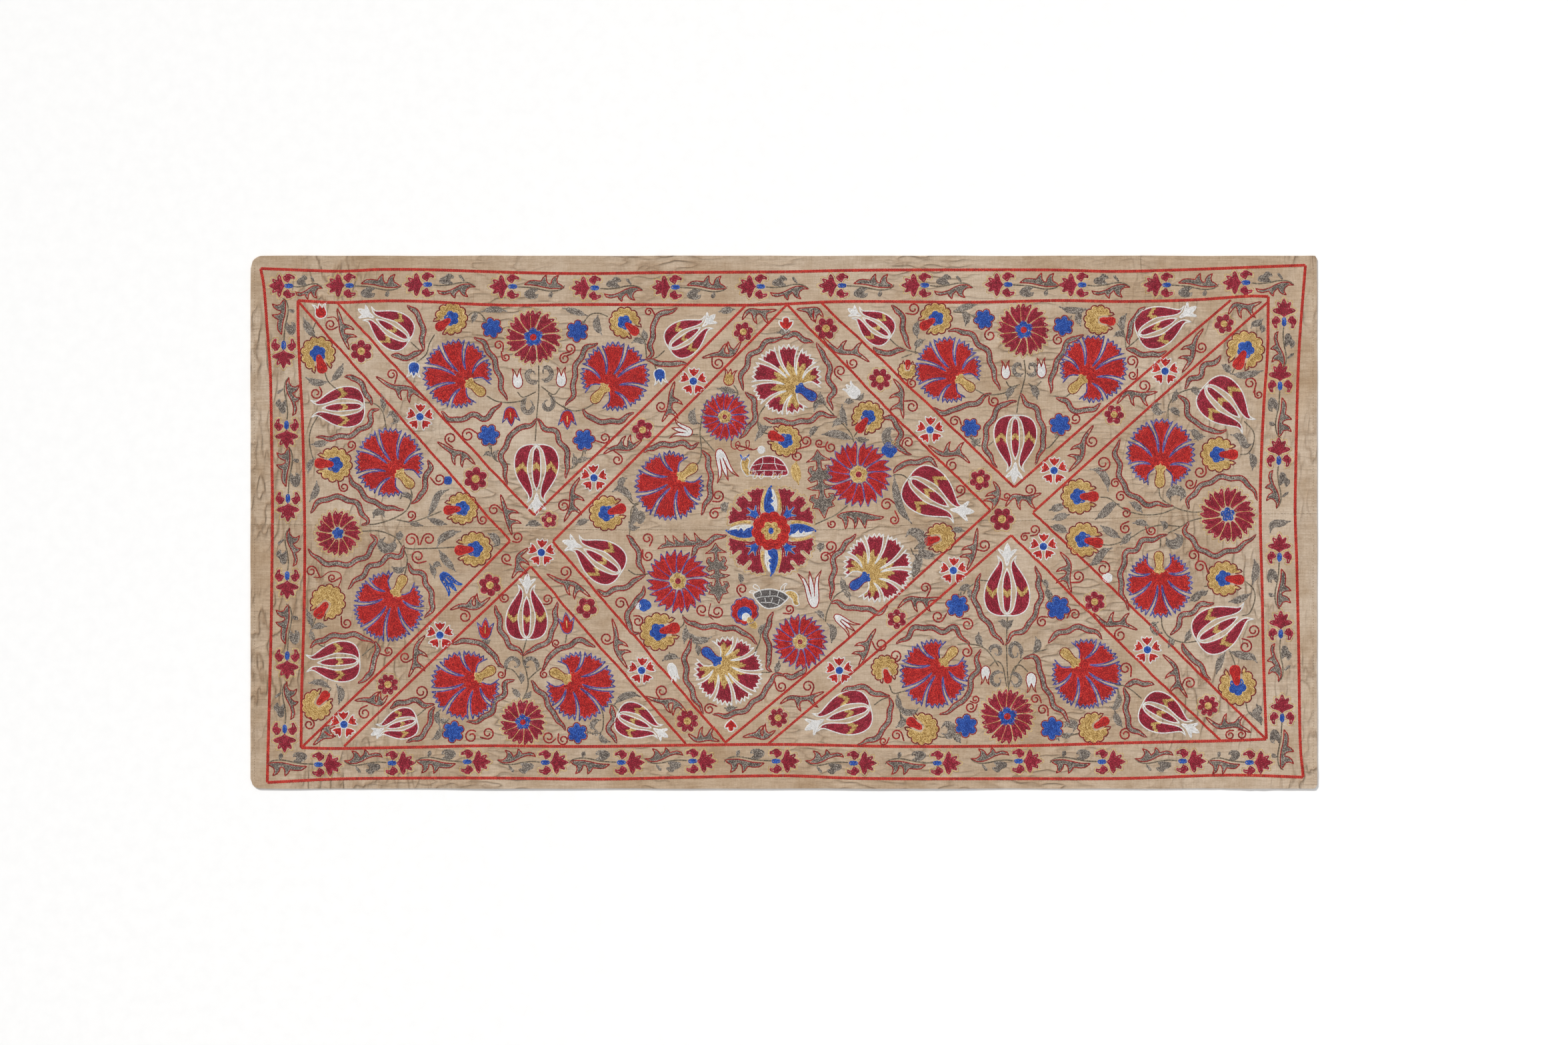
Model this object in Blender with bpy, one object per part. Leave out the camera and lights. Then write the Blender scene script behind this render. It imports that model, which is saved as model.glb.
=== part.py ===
"""Suzani embroidered textile, laid flat.

Two narrow loom widths of cloth are sewn edge to edge along one wandering seam, and their
hems are part of them. Metres, +Z up. +X runs along the length and +Y towards the top edge.
The origin is the middle of the underside, which is flat. The upper face has the cloth's
soft swells, the ridges and troughs of its creases, and the hem's second layer.
"""

import math

import bmesh
import bpy

CLOTH_LENGTH = 1.400
CLOTH_WIDTH = 0.700
CLOTH_THICKNESS = 0.0013
SEAM_GAP = 0.0003
HEM_WIDTH = 0.013
HEM_RISE = 0.0004
CELL = 0.020
ARC_STEPS = 4

CORNER_RADIUS = {
    "top_left": 0.016,
    "top_right": 0.004,
    "bottom_left": 0.013,
    "bottom_right": 0.005,
}

# The seam between the two widths, as its height above the cloth's middle along the length.
SEAM_COLUMNS = ("x", "y")
SEAM = (
    (-0.700, -0.003),
    (-0.470, -0.006),
    (-0.215, -0.010),
    (0.045, -0.010),
    (0.195, -0.003),
    (0.400, 0.005),
    (0.620, 0.011),
    (0.700, 0.011),
)

# Long shallow waves across the whole cloth.
SWELL_COLUMNS = ("wavelength", "turn_deg", "phase", "height")
SWELLS = (
    (0.46, 12.0, 0.7, 0.00035),
    (0.31, 74.0, 2.1, 0.00028),
    (0.21, -38.0, 4.0, 0.00020),
)

# Single creases: a ridge is above the cloth and a trough, with a negative height, is below it.
CREASE_COLUMNS = ("x", "y", "turn_deg", "length", "width", "height")
CREASES = (
    (-0.610, 0.262, -52.0, 0.130, 0.034, 0.0011),
    (-0.655, 0.160, -84.0, 0.200, 0.030, 0.0008),
    (-0.535, 0.205, -47.0, 0.120, 0.036, 0.0008),
    (-0.640, -0.110, 88.0, 0.220, 0.034, 0.0008),
    (-0.600, -0.300, 38.0, 0.130, 0.034, 0.0008),
    (-0.330, 0.060, -8.0, 0.240, 0.036, 0.0006),
    (-0.050, -0.190, 4.0, 0.260, 0.040, -0.0005),
    (0.020, 0.135, 3.0, 0.220, 0.034, 0.0007),
    (0.020, -0.125, -12.0, 0.170, 0.036, 0.0010),
    (0.330, -0.060, 6.0, 0.260, 0.040, 0.0006),
    (0.380, 0.230, -9.0, 0.200, 0.036, -0.0005),
    (0.560, 0.060, 86.0, 0.160, 0.034, 0.0009),
    (0.655, 0.255, 57.0, 0.150, 0.034, 0.0011),
    (0.668, -0.020, 88.0, 0.240, 0.032, 0.0009),
    (0.650, -0.300, -42.0, 0.130, 0.036, 0.0012),
)

PANEL_LOOK = {
    "upper_panel": ((0.55, 0.42, 0.29, 1.0), 0.92),
    "lower_panel": ((0.52, 0.40, 0.28, 1.0), 0.92),
}


def clear_scene():
    for obj in list(bpy.data.objects):
        bpy.data.objects.remove(obj, do_unlink=True)


def smooth_step(t):
    t = min(1.0, max(0.0, t))
    return t * t * (3.0 - 2.0 * t)


def seam_y(x):
    """Height of the seam at x, on an easy curve through the seam's points."""
    for (x0, y0), (x1, y1) in zip(SEAM, SEAM[1:]):
        if x <= x1:
            return y0 + (y1 - y0) * smooth_step((x - x0) / (x1 - x0))
    return SEAM[-1][1]


def edge_y(x, side):
    """Height of the top edge (side 1) or bottom edge (side -1) at x, with its round corners."""
    rows = ("bottom", "top")
    end = "left" if x < 0 else "right"
    radius = CORNER_RADIUS[f"{rows[side > 0]}_{end}"]
    inside = CLOTH_LENGTH / 2 - abs(x)
    if inside >= radius:
        return side * CLOTH_WIDTH / 2
    drop = radius - math.sqrt(radius**2 - (radius - inside) ** 2)
    return side * (CLOTH_WIDTH / 2 - drop)


def swell_height(x, y):
    total = 0.0
    for wavelength, turn_deg, phase, height in SWELLS:
        turn = math.radians(turn_deg)
        along = x * math.cos(turn) + y * math.sin(turn)
        total += height * (1.0 + math.sin(2.0 * math.pi * along / wavelength + phase))
    return total


def crease_height(x, y):
    total = 0.0
    for cx, cy, turn_deg, length, width, height in CREASES:
        turn = math.radians(turn_deg)
        along = (x - cx) * math.cos(turn) + (y - cy) * math.sin(turn)
        across = (y - cy) * math.cos(turn) - (x - cx) * math.sin(turn)
        total += height * math.exp(-((2.0 * along / length) ** 2) - (2.0 * across / width) ** 2)
    return total


def hem_height(x, y):
    """The hem's turned-under layer lifts the face beside the edge."""
    from_edge = min(CLOTH_LENGTH / 2 - abs(x), CLOTH_WIDTH / 2 - abs(y))
    return HEM_RISE * (1.0 - smooth_step(from_edge / HEM_WIDTH))


def face_height(x, y):
    raised = swell_height(x, y) + crease_height(x, y) + hem_height(x, y)
    return CLOTH_THICKNESS + max(-0.3 * CLOTH_THICKNESS, raised)


def column_places(side):
    """Places along the length where the panel on this side has a column of points."""
    places = []
    cells = round(CLOTH_LENGTH / CELL)
    ends = {}
    for end, sign in (("left", -1), ("right", 1)):
        radius = CORNER_RADIUS[("top_" if side > 0 else "bottom_") + end]
        ends[sign] = radius
        for step in range(ARC_STEPS + 1):
            turn = 0.5 * math.pi * step / ARC_STEPS
            places.append(sign * (CLOTH_LENGTH / 2 - radius + radius * math.cos(turn)))
    for i in range(1, cells):
        x = -CLOTH_LENGTH / 2 + i * CELL
        if CLOTH_LENGTH / 2 - abs(x) > ends[1 if x > 0 else -1] + CELL / 4:
            places.append(x)
    return sorted(places)


def panel_limits(x, side):
    """Lowest and highest y of a panel at x: from the seam to the cloth's edge."""
    beside_seam = seam_y(x) + side * SEAM_GAP / 2
    at_edge = edge_y(x, side)
    return (beside_seam, at_edge) if side > 0 else (at_edge, beside_seam)


def build_panel(name, side):
    """One loom width as a closed solid: a shaped face, a flat underside and thin edges."""
    places = column_places(side)
    rows = round(CLOTH_WIDTH / 2 / CELL)
    mesh_data = bmesh.new()
    face_points = []
    for x in places:
        low, high = panel_limits(x, side)
        ys = [low + (high - low) * j / rows for j in range(rows + 1)]
        face_points.append([mesh_data.verts.new((x, y, face_height(x, y))) for y in ys])
    for left, right in zip(face_points, face_points[1:]):
        for j in range(rows):
            mesh_data.faces.new((left[j], right[j], right[j + 1], left[j + 1]))
    rim = [column[0] for column in face_points]
    rim += face_points[-1][1:]
    rim += [column[-1] for column in reversed(face_points[:-1])]
    rim += list(reversed(face_points[0][1:-1]))
    base = [mesh_data.verts.new((v.co.x, v.co.y, 0.0)) for v in rim]
    count = len(rim)
    for i in range(count):
        k = (i + 1) % count
        mesh_data.faces.new((rim[k], rim[i], base[i], base[k]))
    mesh_data.faces.new(list(reversed(base)))
    bmesh.ops.recalc_face_normals(mesh_data, faces=mesh_data.faces)
    mesh = bpy.data.meshes.new(name)
    mesh_data.to_mesh(mesh)
    mesh_data.free()
    panel = bpy.data.objects.new(name, mesh)
    bpy.context.scene.collection.objects.link(panel)
    mesh.shade_smooth()
    mesh.set_sharp_from_angle(angle=math.radians(40))
    mesh.materials.append(cloth_material(name))
    return panel


def cloth_material(name):
    colour, roughness = PANEL_LOOK[name]
    material = bpy.data.materials.new(name + "_cloth")
    material.use_nodes = True
    shader = material.node_tree.nodes["Principled BSDF"]
    shader.inputs["Base Color"].default_value = colour
    shader.inputs["Roughness"].default_value = roughness
    shader.inputs["Metallic"].default_value = 0.0
    return material


def main():
    clear_scene()
    build_panel("upper_panel", 1)
    build_panel("lower_panel", -1)


main()
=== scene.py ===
"""Looks of the suzani embroidered textile: its cloth, its chain stitch and its hand sewing.

Motif places are pixels of the 2352 by 1568 photograph, x to the right and y down, and turns
are clockwise from +x there. to_metres() brings them to the cloth's own frame. Every motif is
drawn by a function, and its fill is rows of chain stitch that follow its outline inwards.
"""

import math

import bmesh
import bpy
import numpy as np
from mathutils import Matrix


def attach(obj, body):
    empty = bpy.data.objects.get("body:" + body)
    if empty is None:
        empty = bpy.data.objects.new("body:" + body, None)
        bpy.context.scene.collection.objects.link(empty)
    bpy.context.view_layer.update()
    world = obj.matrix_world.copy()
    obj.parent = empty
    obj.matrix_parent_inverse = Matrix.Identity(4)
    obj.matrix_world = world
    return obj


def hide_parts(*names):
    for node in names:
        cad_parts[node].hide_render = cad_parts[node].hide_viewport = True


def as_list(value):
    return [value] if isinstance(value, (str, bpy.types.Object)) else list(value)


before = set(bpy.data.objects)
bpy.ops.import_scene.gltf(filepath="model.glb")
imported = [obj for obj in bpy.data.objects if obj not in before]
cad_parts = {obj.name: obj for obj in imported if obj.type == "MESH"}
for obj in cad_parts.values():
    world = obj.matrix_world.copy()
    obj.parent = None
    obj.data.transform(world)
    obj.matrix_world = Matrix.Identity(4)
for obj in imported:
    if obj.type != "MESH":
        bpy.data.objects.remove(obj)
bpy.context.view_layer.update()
RANDOM = np.random.default_rng(11)

# The cloth, in metres, as in the solids.
CLOTH_LENGTH = 1.400
CLOTH_WIDTH = 0.700
CLOTH_THICKNESS = 0.0013
SEAM_GAP = 0.0003
HEM_WIDTH = 0.013
HEM_RISE = 0.0004
CORNER_RADIUS = {
    "top_left": 0.016,
    "top_right": 0.004,
    "bottom_left": 0.013,
    "bottom_right": 0.005,
}
# The seam between the two widths: x, then its height above the cloth's middle.
SEAM = (
    (-0.700, -0.003),
    (-0.470, -0.006),
    (-0.215, -0.010),
    (0.045, -0.010),
    (0.195, -0.003),
    (0.400, 0.005),
    (0.620, 0.011),
    (0.700, 0.011),
)
# Long shallow waves across the cloth: wavelength, turn in degrees, phase, height.
SWELLS = (
    (0.46, 12.0, 0.7, 0.00035),
    (0.31, 74.0, 2.1, 0.00028),
    (0.21, -38.0, 4.0, 0.00020),
)
# Single creases: x, y, turn in degrees, length, width, height.
CREASES = (
    (-0.610, 0.262, -52.0, 0.130, 0.034, 0.0011),
    (-0.655, 0.160, -84.0, 0.200, 0.030, 0.0008),
    (-0.535, 0.205, -47.0, 0.120, 0.036, 0.0008),
    (-0.640, -0.110, 88.0, 0.220, 0.034, 0.0008),
    (-0.600, -0.300, 38.0, 0.130, 0.034, 0.0008),
    (-0.330, 0.060, -8.0, 0.240, 0.036, 0.0006),
    (-0.050, -0.190, 4.0, 0.260, 0.040, -0.0005),
    (0.020, 0.135, 3.0, 0.220, 0.034, 0.0007),
    (0.020, -0.125, -12.0, 0.170, 0.036, 0.0010),
    (0.330, -0.060, 6.0, 0.260, 0.040, 0.0006),
    (0.380, 0.230, -9.0, 0.200, 0.036, -0.0005),
    (0.560, 0.060, 86.0, 0.160, 0.034, 0.0009),
    (0.655, 0.255, 57.0, 0.150, 0.034, 0.0011),
    (0.668, -0.020, 88.0, 0.240, 0.032, 0.0009),
    (0.650, -0.300, -42.0, 0.130, 0.036, 0.0012),
)

# Small puckers that the solids leave out, in groups of like wrinkles.
# Each group's box from x0, y0 to x1, y1, then its count, turn in degrees, length, width, height.
PUCKERS = (
    (-0.690, -0.300, -0.640, 0.300, 30, 88.0, 0.060, 0.0085, 0.00110),
    (-0.640, -0.240, -0.430, 0.240, 34, 84.0, 0.040, 0.0085, 0.00090),
    (-0.690, 0.220, -0.500, 0.330, 22, -52.0, 0.060, 0.0095, 0.00150),
    (-0.690, -0.340, -0.500, -0.230, 16, 50.0, 0.060, 0.0095, 0.00120),
    (-0.400, -0.300, 0.400, 0.300, 90, 2.0, 0.070, 0.0090, 0.00085),
    (0.430, -0.240, 0.640, 0.240, 34, 95.0, 0.040, 0.0085, 0.00100),
    (0.640, -0.300, 0.695, 0.300, 34, 89.0, 0.070, 0.0085, 0.00110),
    (0.480, 0.200, 0.690, 0.330, 26, 62.0, 0.070, 0.0095, 0.00150),
    (0.500, -0.340, 0.695, -0.230, 22, -48.0, 0.070, 0.0095, 0.00140),
)


# The lowest face below the cloth's flat face, the reach of a pucker in its own lengths, and how
# much the puckers of a group differ: turn in degrees, then shares of length, width and height.
DEEPEST_TROUGH = -0.3 * CLOTH_THICKNESS
PUCKER_REACH = 1.3
PUCKER_TURN = 9.0
PUCKER_LENGTHS = (0.6, 1.5)
PUCKER_WIDTHS = (0.8, 1.5)
PUCKER_HEIGHTS = (-0.7, 1.0)

# The photograph: a pixel in metres, the cloth's middle in pixels, and the whole size.
PIXEL = 0.000875
MIDDLE_X = 1175.75
MIDDLE_Y = 783.5
PHOTO_WIDTH = 2352
PHOTO_HEIGHT = 1568

# Chain stitch, in pixels of the photograph: a pixel is 0.875 mm of cloth.
ROW_PITCH = 2.0
FILL_WIDTH = 2.25
WAVE_LENGTH = 31.0
STITCH_HALF = 2.25
GRID_STEP = 0.5
UNDERLAY_CELL = 2.5
ROW_HEIGHT = 0.00046
UNDERLAY_HEIGHT = 0.00022
# The underlay's tone, below that of the stitches: painted shade in the gaps between rows.
UNDERLAY_PAINTED_SHADE = -0.2
REGION_COLUMNS = 4
SMALL_INSET = 0.8
LEAF_INSET = 0.9
LEAF_POWER = 0.8
CALYX_HEIGHT = 1.3
SCUTE_HEIGHT = 1.5
EDGE_HEIGHT = 1.15
FRAME_HEIGHT = 1.1
HAND_SHAKE = 0.12
SHORTEST_LOOP = 1.5 * STITCH_HALF
SPINE_STEP = 2.0
WAVE_FADE = 14.0
SHARP_TURN = 0.75
SAME_PLACE = 1e-4
# A fill's last row is sewn where this much room is left, a little off the deepest point.
LAST_ROW_ROOM = 0.6 * ROW_PITCH
LAST_ROW_STEP = 0.3
# A thin outer row: its gap from the outline, width, height and fewest points.
HALO_GAP = 2.1
HALO_WIDTH = 1.0
HALO_HEIGHT = 0.6
HALO_FEWEST = 8
# A stitch's width and height in its middle and at its ends, as shares, and those of a row's end.
LOOP_WIDTHS = (1.16, 0.84)
LOOP_HEIGHTS = (1.12, 0.80)
END_WIDTH = 0.7
END_HEIGHT = 0.35
FOOT_HEIGHT = 0.00003

ROWS = {}
UNDERLAYS = {}


def smooth_step(t):
    """An easy rise from 0 to 1."""
    t = np.clip(t, 0.0, 1.0)
    return t * t * (3.0 - 2.0 * t)


def seam_y(x):
    """Height of the seam at x, on an easy curve through the seam's points."""
    x = np.asarray(x, float)
    height = np.full(x.shape, SEAM[-1][1])
    for (x0, y0), (x1, y1) in zip(reversed(SEAM[:-1]), reversed(SEAM[1:])):
        height = np.where(x <= x1, y0 + (y1 - y0) * smooth_step((x - x0) / (x1 - x0)), height)
    return height


def ridge(x, y, crease):
    """Height of one crease, a long soft ridge or trough, at these points."""
    cx, cy, turn_deg, length, width, height = crease
    turn = math.radians(turn_deg)
    along = (x - cx) * math.cos(turn) + (y - cy) * math.sin(turn)
    across = (y - cy) * math.cos(turn) - (x - cx) * math.sin(turn)
    return height * np.exp(-((2.0 * along / length) ** 2) - (2.0 * across / width) ** 2)


def scattered_puckers():
    """One crease for each small wrinkle, scattered in its group's box."""
    creases = []
    draw = np.random.default_rng(5)
    for x0, y0, x1, y1, count, turn_deg, length, width, height in PUCKERS:
        for _ in range(count):
            place_in_box = (draw.uniform(x0, x1), draw.uniform(y0, y1))
            turn = turn_deg + draw.normal(0.0, PUCKER_TURN)
            long = length * draw.uniform(*PUCKER_LENGTHS)
            wide = width * draw.uniform(*PUCKER_WIDTHS)
            high = height * draw.uniform(*PUCKER_HEIGHTS)
            creases.append((*place_in_box, turn, long, wide, high))
    return creases


SMALL_CREASES = scattered_puckers()


def surface(x, y):
    """Height of the cloth's face, in metres."""
    raised = np.zeros(np.shape(x))
    for wavelength, turn_deg, phase, height in SWELLS:
        turn = math.radians(turn_deg)
        along = x * math.cos(turn) + y * math.sin(turn)
        raised += height * (1.0 + np.sin(2.0 * math.pi * along / wavelength + phase))
    for crease in CREASES:
        raised += ridge(x, y, crease)
    for crease in SMALL_CREASES:
        near = np.hypot(x - crease[0], y - crease[1]) < crease[3] * PUCKER_REACH
        raised[near] += ridge(x[near], y[near], crease)
    from_edge = np.minimum(CLOTH_LENGTH / 2 - np.abs(x), CLOTH_WIDTH / 2 - np.abs(y))
    raised += HEM_RISE * (1.0 - smooth_step(from_edge / HEM_WIDTH))
    return CLOTH_THICKNESS + np.maximum(DEEPEST_TROUGH, raised)


def to_metres(points):
    """Pixels of the photograph as x and y of the cloth."""
    points = np.asarray(points, float)
    return np.column_stack(((points[:, 0] - MIDDLE_X) * PIXEL, (MIDDLE_Y - points[:, 1]) * PIXEL))


# Lines and outlines, in pixels.


def smooth(points, closed=False, step=1.0):
    """A smooth curve through the points."""
    points = np.asarray(points, float)
    if len(points) < 3:
        return points
    if closed:
        knots = np.vstack((points[-1:], points, points[:2]))
    else:
        knots = np.vstack((2 * points[0] - points[1], points, 2 * points[-1] - points[-2]))
    pieces = []
    for a, b, c, d in zip(knots, knots[1:], knots[2:], knots[3:]):
        count = max(2, round(np.hypot(*(c - b)) / step))
        t = (np.arange(count) / count)[:, None]
        pieces.append(
            0.5 * (2 * b + (c - a) * t + (2 * a - 5 * b + 4 * c - d) * t**2 + (3 * (b - c) + d - a) * t**3)
        )
    if not closed:
        pieces.append(points[-1:])
    return np.vstack(pieces)


def place(shape, x, y, turn_deg=0.0, size=1.0, mirror=1):
    """A local shape turned, sized and set down. Its first column points along the turn."""
    shape = np.asarray(shape, float) * size
    turn = math.radians(turn_deg)
    u, v = shape[:, 0], shape[:, 1] * mirror
    return np.column_stack(
        (x + u * math.cos(turn) - v * math.sin(turn), y + u * math.sin(turn) + v * math.cos(turn))
    )


def mirrored(side):
    """A closed outline from one side of it, listed from end to end."""
    side = np.asarray(side, float)
    return np.vstack((side, (side * (1.0, -1.0))[::-1]))


def ring(x, y, radius_x, radius_y=None, turn_deg=0.0, count=28):
    """An oval outline, or a round one if it has one radius."""
    turn = 2.0 * math.pi * np.arange(count) / count
    radius_y = radius_x if radius_y is None else radius_y
    return place(np.column_stack((radius_x * np.cos(turn), radius_y * np.sin(turn))), x, y, turn_deg)


def resample(points, closed, step):
    """The line with evenly spaced points between its sharp corners."""
    points = np.asarray(points, float)
    if closed:
        points = np.vstack((points, points[:1]))
    leaps = np.hypot(*np.diff(points, axis=0).T)
    points = points[np.concatenate(([True], leaps > SAME_PLACE))]
    if len(points) < 2:
        return points
    leaps = np.diff(points, axis=0)
    lengths = np.hypot(*leaps.T)
    heading = np.arctan2(leaps[:, 1], leaps[:, 0])
    turning = np.abs((np.diff(heading) + math.pi) % (2 * math.pi) - math.pi)
    corners = [0] + [i + 1 for i in np.nonzero(turning > SHARP_TURN)[0]] + [len(points) - 1]
    travelled = np.concatenate(([0.0], np.cumsum(lengths)))
    places = []
    for start, end in zip(corners, corners[1:]):
        run = travelled[end] - travelled[start]
        count = max(1, round(run / step))
        places.extend(travelled[start] + run * np.arange(count) / count)
    if not closed:
        places.append(travelled[-1])
    return np.column_stack([np.interp(places, travelled, points[:, k]) for k in (0, 1)])


# Sewing: rows and underlays are gathered here and become meshes at the end.


def region_of(points):
    """Name of the part of the cloth that the points lie on."""
    x, y = to_metres(points).mean(axis=0)
    column = int(np.clip((x / CLOTH_LENGTH + 0.5) * REGION_COLUMNS, 0, REGION_COLUMNS - 1))
    side = "upper" if y > seam_y(x) else "lower"
    return f"{side}_{column + 1}"


def gather(thread, region, row, closed, width, height):
    """Keeps a row for the mesh of its thread and its part of the cloth."""
    ROWS.setdefault((thread, region), []).append((row, closed, width, height))


def sew(thread, points, closed=False, width=ROW_PITCH, region=None, height=1.0):
    """One row of chain stitch along a line."""
    row = resample(points, closed, STITCH_HALF)
    if len(row) < 2 or (closed and len(row) < 3):
        return
    gather(thread, region or region_of(row), row, closed, width, height)


def grid_over(outline, margin=1.0):
    """Low corner and cell counts of a grid that covers an outline and a margin round it."""
    low = outline.min(axis=0) - margin
    counts = np.ceil((outline.max(axis=0) + margin - low) / GRID_STEP).astype(int) + 1
    return low, counts


def distance_field(outline, low, counts):
    """Distance to the outline at each point of a grid, positive inside it."""
    gx = (low[0] + GRID_STEP * np.arange(counts[0]))[:, None]
    gy = (low[1] + GRID_STEP * np.arange(counts[1]))[None, :]
    nearest = np.full((counts[0], counts[1]), 1e9)
    inside = np.zeros(nearest.shape, bool)
    for (x0, y0), (x1, y1) in zip(outline, np.roll(outline, -1, axis=0)):
        run = (x1 - x0) ** 2 + (y1 - y0) ** 2
        if run < 1e-9:
            continue
        t = np.clip(((gx - x0) * (x1 - x0) + (gy - y0) * (y1 - y0)) / run, 0.0, 1.0)
        gap = (gx - x0 - t * (x1 - x0)) ** 2 + (gy - y0 - t * (y1 - y0)) ** 2
        np.minimum(nearest, gap, out=nearest)
        if y0 != y1:
            crossed = (y0 > gy[0]) != (y1 > gy[0])
            at = x0 + (gy[0, crossed] - y0) * (x1 - x0) / (y1 - y0)
            inside[:, crossed] ^= gx < at[None, :]
    return np.where(inside, 1.0, -1.0) * np.sqrt(nearest)


# For each pattern of inside corners of a cell, the sides where the level line goes in and out.
LEVEL_STEPS = {
    1: (("low", "left"),),
    2: (("right", "low"),),
    3: (("right", "left"),),
    4: (("high", "right"),),
    5: (("low", "left"), ("high", "right")),
    6: (("high", "low"),),
    7: (("high", "left"),),
    8: (("left", "high"),),
    9: (("low", "high"),),
    10: (("right", "low"), ("left", "high")),
    11: (("right", "high"),),
    12: (("left", "right"),),
    13: (("low", "right"),),
    14: (("left", "low"),),
}


def level_lines(field, low, level):
    """Closed lines where the field has this level, in pixels."""
    nx, ny = field.shape
    above = field > level
    if not above.any():
        return []
    code = above[:-1, :-1] * 1 + above[1:, :-1] * 2 + above[1:, 1:] * 4 + above[:-1, 1:] * 8
    following = np.full(2 * nx * ny, -1)
    for pattern, steps in LEVEL_STEPS.items():
        i, j = np.nonzero(code == pattern)
        sides = {
            "low": i * ny + j,
            "high": i * ny + j + 1,
            "left": nx * ny + i * ny + j,
            "right": nx * ny + (i + 1) * ny + j,
        }
        for into, out in steps:
            following[sides[into]] = sides[out]
    following = following.tolist()
    used = [False] * len(following)
    flat = field.ravel()
    lines = []
    for start, after in enumerate(following):
        if after < 0 or used[start]:
            continue
        chain = []
        at = start
        while at >= 0 and not used[at]:
            used[at] = True
            chain.append(at)
            at = following[at]
        ids = np.asarray(chain)
        upright = ids >= nx * ny
        cell = ids - upright * nx * ny
        other = cell + np.where(upright, 1, ny)
        t = (level - flat[cell]) / (flat[other] - flat[cell])
        x = cell // ny + np.where(upright, 0.0, t)
        y = cell % ny + np.where(upright, t, 0.0)
        lines.append(np.column_stack((low[0] + x * GRID_STEP, low[1] + y * GRID_STEP)))
    return lines


def split_runs(row, second):
    """The row's stretches, each with whether it lies in the second colour's place."""
    marks = second(row)
    ends = np.nonzero(np.diff(marks.astype(int)))[0] + 1
    bounds = [0, *ends, len(row)]
    for start, end in zip(bounds, bounds[1:]):
        yield row[start : min(end + 1, len(row))], bool(marks[start])


def is_narrow(line):
    """Whether the next row would find no room inside this closed line."""
    x, y = np.asarray(line).T
    area = 0.5 * abs(np.dot(x, np.roll(y, 1)) - np.dot(y, np.roll(x, 1)))
    around = np.hypot(x - np.roll(x, 1), y - np.roll(y, 1)).sum()
    return 2.0 * area < 0.4 * ROW_PITCH * around


def fill(thread, outline, first=ROW_PITCH / 2, other=None, second=None, holes=()):
    """Rows of chain stitch side by side inside an outline, with an underlay below them.

    Where second(points) is true, the rows are in the other thread. The rows keep out of the
    holes, which are outlines too.
    """
    outline = np.asarray(outline, float)
    low, counts = grid_over(outline)
    field = distance_field(outline, low, counts)
    for hole in holes:
        beside = first - ROW_PITCH / 2
        field = np.minimum(field, beside - distance_field(np.asarray(hole, float), low, counts))
    region = region_of(outline)
    deepest = field.max()
    levels = list(np.arange(first, deepest, ROW_PITCH))
    if levels and deepest - levels[-1] > LAST_ROW_ROOM:
        levels.append(deepest - LAST_ROW_STEP)
    for level in levels:
        cores = level_lines(field, low, level + ROW_PITCH / 2)
        cores = [line for line in cores if is_narrow(line)]
        for line in [*level_lines(field, low, level), *cores]:
            if len(line) * GRID_STEP < SHORTEST_LOOP:
                continue
            row = resample(line, True, STITCH_HALF)
            row = row + RANDOM.normal(0.0, HAND_SHAKE, row.shape)
            if len(row) < 3:
                continue
            if second is None:
                gather(thread, region, row, True, FILL_WIDTH, 1.0)
                continue
            for run, swapped in split_runs(np.vstack((row, row[:1])), second):
                if len(run) > 1:
                    gather(other if swapped else thread, region, run, False, FILL_WIDTH, 1.0)
    lay_under(thread, region, field, low, first, other, second)


def lay_under(thread, region, field, low, first, other, second):
    """Cells of thread under a fill, so that no cloth shows between its rows; their darker tone is painted
    shade between the rows.
    """
    hop = round(UNDERLAY_CELL / GRID_STEP)
    sample = field[::hop, ::hop] > max(0.4, first - 1.0)
    whole = sample[:-1, :-1] & sample[1:, :-1] & sample[1:, 1:] & sample[:-1, 1:]
    i, j = np.nonzero(whole)
    if not len(i):
        return
    corners = np.column_stack((low[0] + i * UNDERLAY_CELL, low[1] + j * UNDERLAY_CELL))
    swapped = np.zeros(len(i), bool)
    if second is not None:
        swapped = second(corners + UNDERLAY_CELL / 2)
    for name, chosen in ((thread, ~swapped), (other, swapped)):
        if chosen.any():
            UNDERLAYS.setdefault((name, region), []).append(corners[chosen])


def sew_edge(thread, outline, width):
    """A slightly raised row along a closed outline."""
    sew(thread, outline, closed=True, width=width, region=region_of(outline), height=EDGE_HEIGHT)


def edged(edge, thread, outline, width=1.9, other=None, second=None, holes=()):
    """A filled outline with a row of another thread along it."""
    fill(thread, outline, first=ROW_PITCH, other=other, second=second, holes=holes)
    sew_edge(edge, outline, width)


def halo(outline, gap=HALO_GAP, keep=None):
    """A thin ochre row at a gap outside an outline, on the stretches that keep(points) marks."""
    outline = np.asarray(outline, float)
    low, counts = grid_over(outline, gap + 2.0)
    field = distance_field(outline, low, counts)
    for line in level_lines(field, low, -gap):
        if keep is None:
            sew("ochre", line, closed=True, width=HALO_WIDTH, height=HALO_HEIGHT)
            continue
        for run, kept in split_runs(line, keep):
            if kept and len(run) > HALO_FEWEST:
                sew("ochre", run, width=HALO_WIDTH, height=HALO_HEIGHT)


# Motifs, each with its own values and function.


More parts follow.
